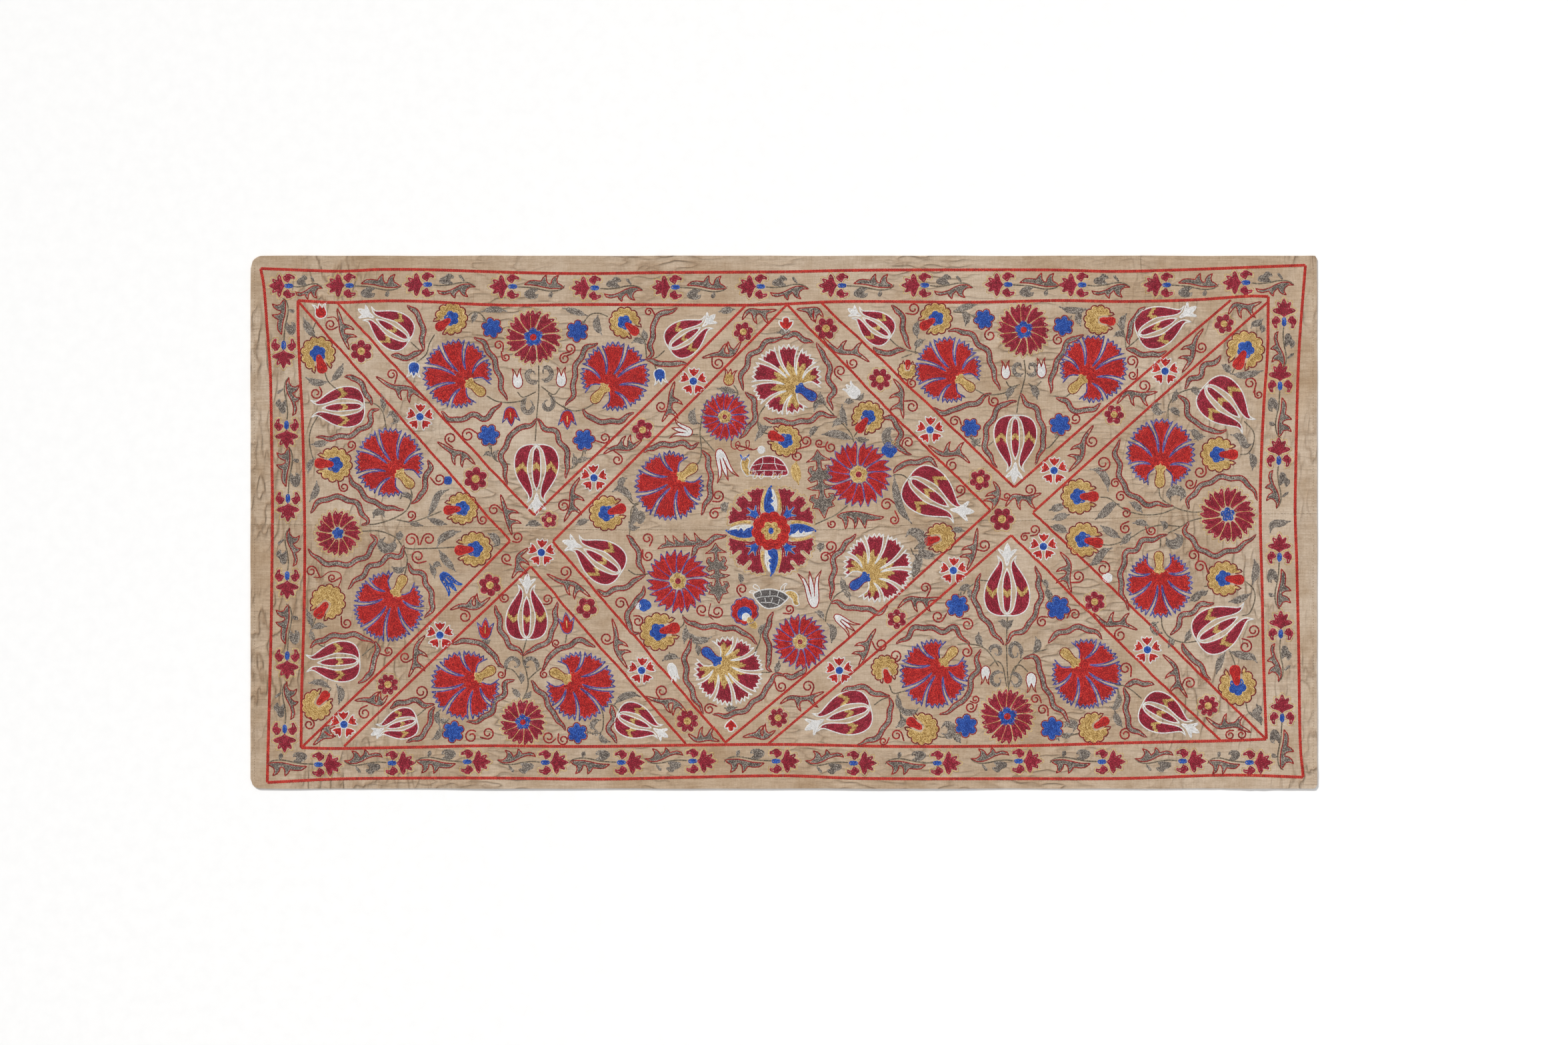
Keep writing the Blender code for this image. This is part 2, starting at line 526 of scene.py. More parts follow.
def spine(points, wave=0.0):
    """Evenly spaced points of a smooth line, its headings and the way across it."""
    line = resample(smooth(points), False, SPINE_STEP)
    heading = np.gradient(line, axis=0)
    heading /= np.hypot(*heading.T)[:, None]
    across = np.column_stack((-heading[:, 1], heading[:, 0]))
    if wave:
        count = len(line)
        travelled = SPINE_STEP * np.arange(count)
        fade = np.minimum(1.0, np.minimum(travelled, travelled[::-1]) / WAVE_FADE)
        sway = wave * fade * np.sin(2.0 * math.pi * travelled / WAVE_LENGTH + RANDOM.uniform(0.0, 6.3))
        line = line + across * sway[:, None]
    return line, heading, across


def lens(count, power):
    """Half widths of a leaf from point to point, as shares of its widest."""
    return np.sin(math.pi * np.linspace(0.0, 1.0, count)) ** power


def plank(count, start_taper, end_taper):
    """Half widths of a band that is drawn in to a point at both ends."""
    t = np.linspace(0.0, 1.0, count)
    return np.minimum(1.0, np.minimum(t / start_taper, (1.0 - t) / end_taper)) ** 0.7


def rows_along(thread, line, across, half, inset):
    """Rows side by side along a line, within the half width at each of its points."""
    room = np.maximum(half - inset, 0.0)
    count = 2 * round(room.max() / ROW_PITCH) + 1
    region = region_of(line)
    for k in range(count):
        share = 0.0 if count == 1 else 2.0 * k / (count - 1) - 1.0
        inside = np.nonzero(room >= 0.5 * abs(share) * room.max())[0]
        if len(inside) < 2:
            continue
        start, end = inside[0], inside[-1] + 1
        row = line[start:end] + across[start:end] * (share * room[start:end])[:, None]
        sew(thread, row, width=FILL_WIDTH, region=region)


def leaf(points, half_width, thread="grey"):
    """A pointed leaf of rows along its middle."""
    line, _, across = spine(points)
    rows_along(thread, line, across, half_width * lens(len(line), LEAF_POWER), LEAF_INSET)


def curl(points, half_width):
    """A coiled leaf, about as broad all along."""
    line, _, across = spine(points)
    rows_along("grey", line, across, half_width * plank(len(line), 0.14, 0.3), LEAF_INSET)


RIBBON_HALF = 3.7
RIBBON_SWAY = 1.7
RIBBON_EDGE_WIDTH = 2.1


def ribbon(points):
    """A long wavy leaf, grey with a red edge."""
    line, _, across = spine(points, wave=RIBBON_SWAY)
    half = RIBBON_HALF * plank(len(line), 0.16, 0.22)
    rows_along("grey", line, across, half, 1.9)
    side = across * half[:, None]
    outline = np.vstack((line + side, (line - side)[-2:0:-1]))
    sew_edge("brick", outline, RIBBON_EDGE_WIDTH)


# One thorn, from its foot nearer the leaf's start to its far foot: along the leaf, then out from
# its side, in pixels.
THORN = (
    (-5.2, 0.0), (-2.9, 3.0), (-0.8, 8.0), (1.6, 12.0), (6.5, 15.5), (4.2, 9.8), (3.2, 4.8),
    (4.9, 0.5),
)
# Where the thorns stand along the leaf, and how many points of its side one takes up.
THORN_PLACES = (0.68, 0.44)
THORN_BEFORE = 3
THORN_AFTER = 2
THORN_LEAF_HALF = 3.3
THORN_LEAF_POWER = 0.6


def thorn_leaf(points, side):
    """A grey leaf edged in red, with hooked thorns on one side of it."""
    line, heading, across = spine(points)
    half = THORN_LEAF_HALF * lens(len(line), THORN_LEAF_POWER)
    last = len(line) - 1
    thorny = list(line + across * (half * side)[:, None])
    for share in THORN_PLACES:
        middle = round(share * last)
        foot = line[middle] + across[middle] * side * half[middle]
        hook = [foot + heading[middle] * u + across[middle] * side * v for u, v in THORN]
        start = max(1, middle - THORN_BEFORE)
        end = min(last, middle + THORN_AFTER + 1)
        thorny[start:end] = hook
    outline = np.vstack((np.asarray(thorny), (line - across * (half * side)[:, None])[-2:0:-1]))
    edged("brick", "grey", outline, width=1.9)


# A spiral's coils, its width as sewn, and its inner end's distance from its middle, as a share.
SPIRAL_TURNS = 1.3
SPIRAL_WIDTH = 2.4
SPIRAL_INNER = 0.26


def spiral(x, y, radius, tail_x, tail_y, hand):
    """A coiled line that leaves its coil towards a tail point."""
    span = math.hypot(tail_x - x, tail_y - y)
    bearing = math.atan2(tail_y - y, tail_x - x)
    leave = bearing - hand * math.acos(min(1.0, radius / max(span, 1e-6)))
    t = np.linspace(0.0, 1.0, 30)
    turn = leave - hand * 2.0 * math.pi * SPIRAL_TURNS * (1.0 - t)
    reach = radius * (SPIRAL_INNER + (1.0 - SPIRAL_INNER) * t**0.8)
    coil = np.column_stack((x + reach * np.cos(turn), y + reach * np.sin(turn)))
    if span > radius + 1.5:
        coil = np.vstack((coil, (tail_x, tail_y)))
    sew("brick", coil, width=SPIRAL_WIDTH)


# Carnations. A slit's inner end and bow are shares of the reach, and its mouth is in pixels, as
# the teeth are. The root is the point that the petals leave from, and the horns are the ends of
# the rim.
SLIT_START = 0.30
SLIT_LEAN = 0.17
SLIT_BOW = 0.075
SLIT_MOUTH = 3.3
SLIT_TIP = 0.5
SLIT_POINTS = (0.84, 0.66, 0.48, 0.30, 0.14)
TOOTH_PITCH = 7.4
TOOTH_TIP = 1.8
TOOTH_VALLEY = -4.6
CARNATION_ROOT = 0.27
HORN_DEG = 20.0


def slit_sides(reach, root, turn):
    """Both sides of the slit between two petals, each from the rim inwards."""
    hand = math.copysign(1.0, math.pi - turn)
    inner_turn = turn + hand * SLIT_LEAN
    inner = root + SLIT_START * reach * np.array((math.cos(inner_turn), math.sin(inner_turn)))
    along = reach * np.array((math.cos(turn), math.sin(turn))) - inner
    across = np.array((-along[1], along[0])) / np.hypot(*along)
    t = np.array(SLIT_POINTS)[:, None]
    middle = inner + along * t + across * (hand * SLIT_BOW * reach * 4.0 * t * (1.0 - t))
    half = SLIT_TIP + (SLIT_MOUTH - SLIT_TIP) * t
    return middle - across * half, middle + across * half, inner


NOTCH_SIDE = ((0.81, 0.37), (0.67, 0.37), (0.55, 0.28), (0.47, 0.17), (0.42, 0.09), (0.38, 0.0))
NOTCH_EDGED = 4


def carnation_outline(reach, petals):
    """Round fan of saw-toothed petals, parted by slits, from horn to horn of its notch."""
    root = np.array((CARNATION_ROOT * reach, 0.0))
    bounds = np.radians(np.linspace(HORN_DEG, 360.0 - HORN_DEG, petals + 1))
    points = []
    for k, (start, end) in enumerate(zip(bounds, bounds[1:])):
        begin = start + (SLIT_MOUTH / reach if k else 0.0)
        stop = end - (SLIT_MOUTH / reach if k < petals - 1 else 0.0)
        teeth = round((stop - begin) * reach / TOOTH_PITCH)
        turns = np.linspace(begin, stop, 2 * teeth + 1)
        turns[1:-1] += RANDOM.normal(0.0, 0.012, 2 * teeth - 1)
        tips = np.arange(2 * teeth + 1) % 2 == 0
        radii = reach + np.where(tips, TOOTH_TIP, TOOTH_VALLEY) + RANDOM.normal(0.0, 0.5, len(turns))
        points.extend(np.column_stack((radii * np.cos(turns), radii * np.sin(turns))))
        if k < petals - 1:
            near, far, inner = slit_sides(reach, root, end)
            points.extend((*near, inner, *far[::-1]))
    return np.array(points)


CALYX_SIDE = (
    (0.29, 0.0), (0.38, 0.05), (0.36, 0.11), (0.43, 0.19), (0.50, 0.13), (0.60, 0.105),
    (0.72, 0.13), (0.86, 0.155), (0.97, 0.13), (1.03, 0.06), (1.04, 0.0),
)
CALYX_CROWN = 4
# Edge thread, its width and the calyx's thread, by the petals' thread.
CARNATION_THREADS = {"scarlet": ("violet", 2.1, "ochre"), "crimson": ("white", 1.8, "blue")}
# The ochre heart of a crimson carnation: its size, how far its points swing, and their number.
HEART_SHARE = 0.62
HEART_SWING = 0.09
HEART_POINTS = 17.0


def carnation(x, y, calyx_x, calyx_y, reach, petals, scheme):
    """A fan flower, seen from its side, with a club-shaped calyx."""
    turn_deg = math.degrees(math.atan2(calyx_y - y, calyx_x - x))
    fan = carnation_outline(reach, petals)
    notch = np.asarray(NOTCH_SIDE) * reach
    outline = np.vstack((fan, notch * (1.0, -1.0), notch[-2::-1]))
    shown = np.vstack((notch[NOTCH_EDGED - 1 :: -1], fan, notch[:NOTCH_EDGED] * (1.0, -1.0)))
    calyx = mirrored(CALYX_SIDE) * reach
    bulb = calyx[CALYX_CROWN : len(calyx) - CALYX_CROWN]
    outline, shown, calyx, bulb = (place(shape, x, y, turn_deg) for shape in (outline, shown, calyx, bulb))
    root = place(((CARNATION_ROOT * reach, 0.0),), x, y, turn_deg)[0]
    region = region_of(outline)

    def heart(points):
        away = points - root
        turn = np.arctan2(away[:, 1], away[:, 0])
        return np.hypot(*away.T) < reach * (HEART_SHARE + HEART_SWING * np.cos(HEART_POINTS * turn))

    edge, edge_width, calyx_thread = CARNATION_THREADS[scheme]
    inner = {"other": "ochre", "second": heart} if scheme == "crimson" else {}
    fill(scheme, outline, first=ROW_PITCH, holes=(calyx,), **inner)
    sew(edge, shown, width=edge_width, region=region, height=EDGE_HEIGHT)
    fill(calyx_thread, calyx, first=LEAF_INSET)
    sew("maroon", bulb, width=1.7, region=region, height=CALYX_HEIGHT)


# A rosette's petal: distance from the middle, then turn from the petal's own line, as shares.
PETAL_SIDE = (
    (0.29, 0.60), (0.50, 0.93), (0.76, 0.96), (0.86, 0.86), (1.03, 0.56), (0.88, 0.22), (0.83, 0.0),
)
PETAL_TWIST = 0.16
HUB_PETALS = 5
# Petal, edge, middle flower and its eye, the middle flower's size, and whether petals are edged.
ROSETTE_THREADS = {
    "crimson": ("crimson", "ochre", "blue", "scarlet", 0.37, False),
    "crimson plain": ("crimson", "ochre", "blue", "blue", 0.27, False),
    "scarlet": ("scarlet", "violet", "ochre", "crimson", 0.29, True),
}


def rosette(x, y, reach, petals, scheme):
    """A round flower of petals with two teeth each."""
    thread, edge, hub, eye, hub_size, has_edge = ROSETTE_THREADS[scheme]
    half = math.pi / petals
    side = mirrored(PETAL_SIDE)
    count = len(PETAL_SIDE)
    for k in range(petals):
        middle = 2.0 * math.pi * k / petals + RANDOM.uniform(-0.04, 0.04)
        radii = side[:, 0] * reach * RANDOM.uniform(0.97, 1.03)
        turns = middle + side[:, 1] * half + PETAL_TWIST * (radii / reach) ** 2
        petal = np.column_stack((x + radii * np.cos(turns), y + radii * np.sin(turns)))
        if has_edge:
            fill(thread, petal, first=1.0)
            sew(edge, petal, closed=True, width=1.5, height=1.2)
        else:
            fill(thread, petal, first=SMALL_INSET)
            sew(edge, petal[: count - 3], width=1.3, height=CALYX_HEIGHT)
            halo(petal, 1.7, lambda points: np.hypot(*(points - (x, y)).T) > 0.86 * reach)
    small_flower(x, y, hub_size * reach, HUB_PETALS, hub, None, eye)


def lobed(x, y, reach, lobes, depth, turn_deg=0.0, count=6):
    """A round outline of scallops."""
    turn = 2.0 * math.pi * np.arange(lobes * count) / (lobes * count)
    radius = reach * (1.0 - depth + depth * np.abs(np.sin(lobes * turn / 2.0)) ** 0.7)
    return place(np.column_stack((radius * np.cos(turn), radius * np.sin(turn))), x, y, turn_deg)


def small_flower(x, y, reach, lobes, thread, edge, centre, turn_deg=12.0):
    """A small flower of round petals."""
    outline = lobed(x, y, reach, lobes, 0.34, turn_deg)
    middle = ring(x, y, 0.33 * reach)
    fill(thread, outline, holes=(middle,))
    if edge:
        halo(outline)
    fill(centre, middle, first=0.7)


HEART_SIDE = (
    (0.30, 0.0), (0.42, 0.13), (0.62, 0.31), (0.84, 0.41), (1.00, 0.40), (0.90, 0.25), (0.86, 0.14),
    (1.04, 0.0),
)


HEART_REACH = 20.0
HEART_FIRST_TURN = -90.0
HEART_PETALS = 5


def hearts(x, y):
    """Five small toothed petals apart from each other, round a blue centre."""
    petal = mirrored(HEART_SIDE)
    for k in range(HEART_PETALS):
        turn = HEART_FIRST_TURN + 360.0 / HEART_PETALS * k + RANDOM.uniform(-5.0, 5.0)
        shape = place(petal, x, y, turn, HEART_REACH)
        fill("scarlet", shape, first=1.5)
        sew_edge("white", shape, 1.4)
    fill("blue", ring(x, y, 0.27 * HEART_REACH), first=SMALL_INSET)
    sew("white", ring(x, y, 0.31 * HEART_REACH), closed=True, width=1.2)


TULIP_BODY_SIDE = (
    (-0.48, 0.0), (-0.475, 0.14), (-0.44, 0.26), (-0.37, 0.35), (-0.25, 0.405), (-0.12, 0.42),
    (0.02, 0.405), (0.14, 0.365), (0.26, 0.30), (0.38, 0.22), (0.48, 0.155), (0.55, 0.15),
    (0.63, 0.18),
)
TULIP_ARCH_SIDE = (
    (0.63, 0.18), (0.53, 0.095), (0.43, 0.075), (0.30, 0.095), (0.18, 0.13), (0.05, 0.165),
    (-0.06, 0.172), (-0.20, 0.155), (-0.34, 0.12), (-0.42, 0.07), (-0.455, 0.0),
)
TULIP_HEART_SIDE = (
    (-0.44, 0.0), (-0.37, 0.05), (-0.25, 0.07), (0.0, 0.082), (0.13, 0.075), (0.26, 0.052),
    (0.40, 0.0),
)
FINIAL_SIDE = (
    (-0.08, 0.0), (0.0, 0.03), (0.10, 0.055), (0.19, 0.125), (0.32, 0.225), (0.285, 0.135),
    (0.245, 0.07), (0.33, 0.05), (0.43, 0.0),
)


# An ochre chevron of a tulip, as shares of its length: its arms part this far from the middle
# line, around this point of a petal, with this slope and half width.
CHEVRON_PART = 0.12
CHEVRON_PETAL = 0.27
CHEVRON_PLACE = 0.10
CHEVRON_SLOPE = 1.25
CHEVRON_HALF = 0.055
TULIP_LENGTH_SHARE = 0.97
TULIP_TIP = 0.48
FINIAL_SIZE = 0.92
TULIP_EDGE_WIDTH = 1.7


def tulip(x, y, turn_deg, length, finial):
    """Three crimson petals with ochre chevrons, edged in white, and a white finial."""

    def half(side, mirror=1.0):
        return smooth(np.asarray(side) * (length, length * mirror), step=2.0)

    left, right = (
        np.vstack((half(TULIP_BODY_SIDE, hand), half(TULIP_ARCH_SIDE, hand)[1:])) for hand in (1.0, -1.0)
    )
    body = place(np.vstack((left, right[-2:0:-1])), x, y, turn_deg)
    heart = half(TULIP_HEART_SIDE)
    heart = np.vstack((heart, (heart * (1.0, -1.0))[-2:0:-1]))
    turn = math.radians(turn_deg)

    def chevron(points):
        away = points - (x, y)
        u = away[:, 0] * math.cos(turn) + away[:, 1] * math.sin(turn)
        v = np.abs(away[:, 1] * math.cos(turn) - away[:, 0] * math.sin(turn))
        middle = np.where(v < CHEVRON_PART * length, 0.0, CHEVRON_PETAL * length)
        bend = np.abs(v - middle)
        return np.abs(u + CHEVRON_PLACE * length - CHEVRON_SLOPE * bend) < CHEVRON_HALF * length

    for shape in (body, place(heart, x, y, turn_deg)):
        edged("white", "crimson", shape, width=TULIP_EDGE_WIDTH, other="ochre", second=chevron)
    if finial:
        end = place(((TULIP_TIP * length, 0.0),), x, y, turn_deg)[0]
        away = np.asarray(finial) - end
        finial_turn = math.degrees(math.atan2(away[1], away[0]))
        side = np.asarray(FINIAL_SIDE)
        shape = np.vstack((side, (side * (1.0, -1.0))[-2:0:-1]))
        fill("white", place(shape, end[0], end[1], finial_turn, length * FINIAL_SIZE), first=SMALL_INSET)


# Small tulips, from foot to tips: two tips, three tips, three long petals, and three spread wide.
CUP_SIDES = {
    "two": (
        (-0.50, 0.0), (-0.46, 0.16), (-0.33, 0.29), (-0.14, 0.33), (0.06, 0.28), (0.28, 0.21),
        (0.52, 0.29), (0.36, 0.12), (0.18, 0.05), (0.04, 0.0),
    ),
    "three": (
        (-0.50, 0.0), (-0.46, 0.17), (-0.30, 0.31), (-0.08, 0.32), (0.12, 0.27), (0.30, 0.30),
        (0.50, 0.42), (0.36, 0.21), (0.16, 0.12), (0.32, 0.08), (0.52, 0.0),
    ),
    "long": (
        (-0.50, 0.0), (-0.47, 0.12), (-0.32, 0.22), (-0.10, 0.26), (0.10, 0.28), (0.28, 0.34),
        (0.50, 0.50), (0.32, 0.235), (0.10, 0.125), (-0.20, 0.065), (0.12, 0.10), (0.34, 0.055),
        (0.52, 0.0),
    ),
    "spread": (
        (-0.50, 0.0), (-0.44, 0.20), (-0.26, 0.32), (-0.04, 0.38), (0.28, 0.50), (0.12, 0.30),
        (0.05, 0.21), (0.24, 0.16), (0.50, 0.0),
    ),
}


def cup(x, y, turn_deg, length, spread, thread, edge, kind):
    """A small tulip, and one whose petals are spread wide has an ochre stripe."""
    side = np.asarray(CUP_SIDES[kind]) * (1.0, spread)
    outline = place(mirrored(side), x, y, turn_deg, length)
    if edge:
        fill(thread, outline, first=1.7)
        sew_edge(edge, outline, 1.6)
    else:
        fill(thread, outline, first=SMALL_INSET)
    if kind == "spread":
        sew("ochre", place(((-0.25, 0.0), (0.15, 0.0)), x, y, turn_deg, length), width=2.4, height=1.7)


CLUB_SIDE = (
    (0.04, 0.0), (0.12, 0.13), (0.30, 0.19), (0.52, 0.21), (0.76, 0.29), (0.98, 0.28), (1.12, 0.17),
    (1.16, 0.0),
)
PALMETTE_HORN = ((0.86, 0.60), (1.02, 0.49), (0.84, 0.38), (0.62, 0.33), (0.36, 0.30), (0.0, 0.2))
PALMETTE_EDGED = 4
PALMETTE_LOBES = 9
PALMETTE_GAP_DEG = 38.0
PALMETTE_RIM = 0.89
PALMETTE_SCALLOP = 0.14


def palmette(x, y, bud_x, bud_y, reach, heart=True):
    """A lobed ochre flower, open towards its red bud, with a blue trefoil."""
    turn_deg = math.degrees(math.atan2(bud_y - y, bud_x - x))
    gap = math.radians(PALMETTE_GAP_DEG)
    t = np.linspace(0.0, 1.0, PALMETTE_LOBES * 6 + 1)
    turn = gap + (2.0 * math.pi - 2.0 * gap) * t
    scallops = np.abs(np.sin(PALMETTE_LOBES * math.pi * t)) ** 0.6
    radius = reach * (PALMETTE_RIM + PALMETTE_SCALLOP * scallops)
    rim = np.column_stack((radius * np.cos(turn), radius * np.sin(turn)))
    horn = np.asarray(PALMETTE_HORN) * reach
    outline = np.vstack((rim, horn * (1.0, -1.0), horn[::-1]))
    shown = np.vstack((horn[PALMETTE_EDGED - 1 :: -1], rim, horn[:PALMETTE_EDGED] * (1.0, -1.0)))
    club = mirrored(smooth(np.asarray(CLUB_SIDE) * reach, step=1.5))
    outline, shown, club = (place(shape, x, y, turn_deg) for shape in (outline, shown, club))
    holes = [club]
    if heart:
        centre = place(((-0.02 * reach, 0.0),), x, y, turn_deg)[0]
        trefoil = lobed(centre[0], centre[1], 0.48 * reach, 5, 0.24, turn_deg)
        fill("blue", trefoil, first=SMALL_INSET, holes=(club,))
        holes.append(trefoil)
    fill("ochre", outline, first=ROW_PITCH, holes=holes)
    sew("maroon", shown, width=2.0, region=region_of(outline), height=EDGE_HEIGHT)
    fill("scarlet", club, first=SMALL_INSET)


BLUE_LOBES = 6


def blue_flower(x, y, reach, stem_deg):
    """A scalloped blue flower edged in red, with a grey calyx."""
    edged("brick", "blue", lobed(x, y, reach, BLUE_LOBES, 0.30, stem_deg), width=1.7)
    leaf(place(((0.55, 0.0), (0.85, 0.0), (1.25, 0.0)), x, y, stem_deg, reach), 3.4)


# A border flower and its leaf, in pixels: along the border towards the fan, then across.
FAN_SIDE = (
    (8.0, 0.0), (11.5, 3.6), (13.2, 8.0), (14.6, 13.0), (18.2, 18.0), (21.0, 13.0), (21.4, 8.0),
    (25.5, 9.4), (31.0, 11.0), (29.6, 7.0), (27.4, 4.4), (31.5, 2.6), (37.0, 0.0),
)
WING = (
    (1.5, 4.5), (5.5, 7.2), (9.0, 9.4), (9.6, 13.5), (6.0, 15.2), (4.0, 18.2), (-1.0, 18.0),
    (-3.6, 15.8), (-8.0, 14.5), (-8.6, 9.8), (-4.5, 11.6), (-1.3, 10.6), (0.2, 7.4),
)
# The leaf lies beside the stem on one side of the border, and stands off from it on the other.
BORDER_LEAVES = {
    1: (
        (-16.5, 2.8), (-24.0, 8.5), (-31.0, 9.2), (-41.5, 8.0), (-45.0, 13.5), (-49.4, 17.5),
        (-49.6, 9.0), (-52.5, 4.2), (-56.5, 4.0), (-57.5, 9.0), (-61.0, 14.0), (-67.8, 17.0),
        (-65.0, 10.5), (-66.5, 5.0), (-71.5, 2.4), (-76.0, -1.8), (-66.5, -2.8), (-55.5, -2.8),
        (-45.9, -1.0), (-35.0, 1.6), (-25.4, 2.6),
    ),
    -1: (
        (-13.4, 8.6), (-16.5, 13.5), (-23.0, 15.2), (-33.5, 12.7), (-35.5, 16.5), (-39.8, 20.5),
        (-41.0, 13.5), (-46.5, 8.6), (-49.5, 13.8), (-52.5, 16.5), (-59.5, 18.6), (-56.0, 13.2),
        (-57.0, 8.0), (-62.5, 3.6), (-71.0, 3.6), (-62.0, -0.6), (-53.0, -0.4), (-44.8, 2.4),
        (-35.3, 7.6), (-25.7, 10.6), (-18.0, 10.2),
    ),
}
BORDER_OVAL = (1.0, 7.0, 3.5)
BORDER_STEMS = {
    1: (
        (-6, -0.4), (-18.6, -1.1), (-31, -2.2), (-42, -4.6), (-53, -6.6), (-64, -6.3), (-73, -3.4),
        (-77, 1.5),
    ),
    -1: ((-7, 0.6), (-18.8, 1.6), (-34, 0), (-45, -2.5), (-56, -3.3), (-65, -1), (-71, 3.6)),
}
BORDER_BLOBS = {
    1: (
        ((-28, -2.7), (-20, -6), (-16, -11.5), (-19.5, -16.6), (-28, -18.6), (-35.5, -16.8), (-38.4, -10.2),
         (-34.5, -12), (-32, -10.5), (-33.4, -7.4), (-38.5, -4.2)),
        ((-57, -7), (-53, -11.5), (-52.8, -16), (-57.6, -16.2), (-59, -9.5)),
    ),
    -1: (
        ((-27, -0.6), (-18, -2), (-16.2, -6), (-19.5, -10.2), (-25, -12), (-29.5, -16.8), (-35.3, -14.8),
         (-39.4, -9.9), (-33, -8.6), (-34, -4.6), (-38.5, -1.8)),
        ((-54.6, -4), (-50.6, -6.6), (-45, -13.2), (-48, -15), (-51.4, -11), (-54.6, -6)),
    ),
}


def border_sprig(x, y, turn_deg, side, length=1.0, fan_length=1.0):
    """A border flower with its stem, its thorn leaf on one side and two blobs on the other."""
    fan = place(mirrored(np.asarray(FAN_SIDE) * (fan_length, 1.0)), x, y, turn_deg)
    for petal in (fan, place(WING, x, y, turn_deg), place(WING, x, y, turn_deg, 1.0, -1)):
        fill("crimson", petal, first=0.7)
        halo(petal)
    at, half_long, half_wide = BORDER_OVAL
    oval = place(((at, 0.0),), x, y, turn_deg)[0]
    fill("blue", ring(oval[0], oval[1], half_long, half_wide, turn_deg), first=SMALL_INSET)

    def local(points):
        return place(np.asarray(points, float) * (length, side), x, y, turn_deg)

    sew("stem", smooth(local(BORDER_STEMS[side])), width=2.0)
    leaf_edge = local(BORDER_LEAVES[side])
    fill("grey", leaf_edge, first=1.7)
    sew_edge("brick", leaf_edge, 1.9)
    for blob in BORDER_BLOBS[side]:
        fill("grey", smooth(local(blob), True, 2.0), first=LEAF_INSET)


# Border sprigs: x, y, the side of the leaf, and in some rows the shares of the full length and
# of the full flower's length.
TOP_SPRIGS = (
    (434, 429, -1, 0.70, 0.84), (525, 428.5, 1), (642.5, 427, -1), (770, 430, 1), (893, 432, -1),
    (1014, 431, 1), (1142, 430, -1), (1264, 428.5, 1), (1388, 428, -1), (1513, 427, 1),
    (1624, 427.5, -1), (1751, 427.5, 1), (1870, 424, -1),
)
LEFT_SPRIGS = (
    (425.5, 517, 1, 0.90), (430, 637, -1), (432, 747, 1), (431, 863, -1), (431, 983, 1),
    (427, 1093, -1),
)
RIGHT_SPRIGS = (
    (1926, 484, -1), (1920, 580, 1), (1918, 692, -1), (1919, 837, 1), (1921, 952, -1),
    (1923, 1078, 1),
)
BOTTOM_SPRIGS = (
    (477, 1147, 1), (587, 1145, -1), (700, 1143, 1), (817, 1144, -1), (931, 1144, 1),
    (1038, 1142, -1), (1163, 1142, 1), (1279, 1145, -1), (1405, 1145, 1), (1527, 1142, -1),
    (1652, 1143, 1), (1773, 1142, -1), (1873, 1144, 1, 0.80),
)

# Frame lines, each a smooth line through a few points.
FRAME_LINES = (
    ((391, 403), (505, 407), (570, 404.5), (650, 405), (772, 409), (880, 410.5), (1000, 409),
     (1172, 408), (1300, 405.5), (1560, 405), (1700, 407), (1958, 398)),
    ((1958, 398), (1950, 500), (1946, 590), (1943.5, 700), (1942.4, 770), (1945, 850), (1948, 980),
     (1950, 1110), (1954.5, 1166)),
    ((1954.5, 1166), (1841, 1163), (1686, 1168), (1531, 1168.4), (1300, 1168), (1180, 1164),
     (1041, 1166), (900, 1169), (731, 1167.4), (525, 1168.4), (401, 1174)),
    ((401, 1174), (403, 1090), (403.6, 1069), (407, 935), (408.6, 780), (408, 700), (406, 570),
     (403, 520), (400, 480), (396, 430), (391, 403)),
    ((447, 451), (505, 454), (580, 451.5), (650, 453), (700, 456), (772, 458), (900, 457),
     (1100, 458), (1172, 456.5), (1273, 452.5), (1459, 453.5), (1583, 451), (1686, 452.5),
     (1790, 450), (1867, 444.7), (1902.4, 444.7)),
    ((1902.4, 444.7), (1901, 530), (1895.7, 607), (1891, 711), (1890.5, 788), (1893, 883),
     (1895, 987), (1899.3, 1109)),
    ((1899.3, 1109), (1831, 1111.6), (1686, 1114.7), (1531, 1119), (1351, 1120), (1180, 1117),
     (1031, 1118), (886, 1120), (731, 1119), (628, 1121), (515, 1123), (451.6, 1122)),
    ((451.6, 1122), (452.6, 1038), (455, 961), (456.8, 883), (457, 785), (454, 640), (450, 560),
     (447.5, 500), (447, 451)),
)
LATTICE_LINES = (
    ((446, 451), (600, 626), (765, 812)), ((765, 812), (610, 969), (452, 1122)),
    ((505, 454), (655, 617), (801, 773)), ((801, 773), (960, 618), (1118, 459)),
    ((1180.5, 457), (1000, 640), (829.7, 812)), ((829.7, 812), (960, 965), (1088, 1114)),
    ((1180.5, 457), (1330, 612), (1486, 765.5)), ((1486, 765.5), (1290, 943), (1088, 1114)),
    ((516, 1120), (655, 985), (796, 850)), ((796, 850), (912, 984), (1028.6, 1116)),
    ((1232, 455), (1380, 595), (1521, 731.5)), ((1521, 731.5), (1680, 592), (1846.6, 450)),
    ((1902, 453), (1725, 610), (1549.6, 768.6)), ((1549.6, 768.6), (1722, 935), (1899, 1109)),
    ((1150, 1118), (1330, 965), (1517, 803)), ((1517, 803), (1675, 960), (1831, 1111.6)),
)

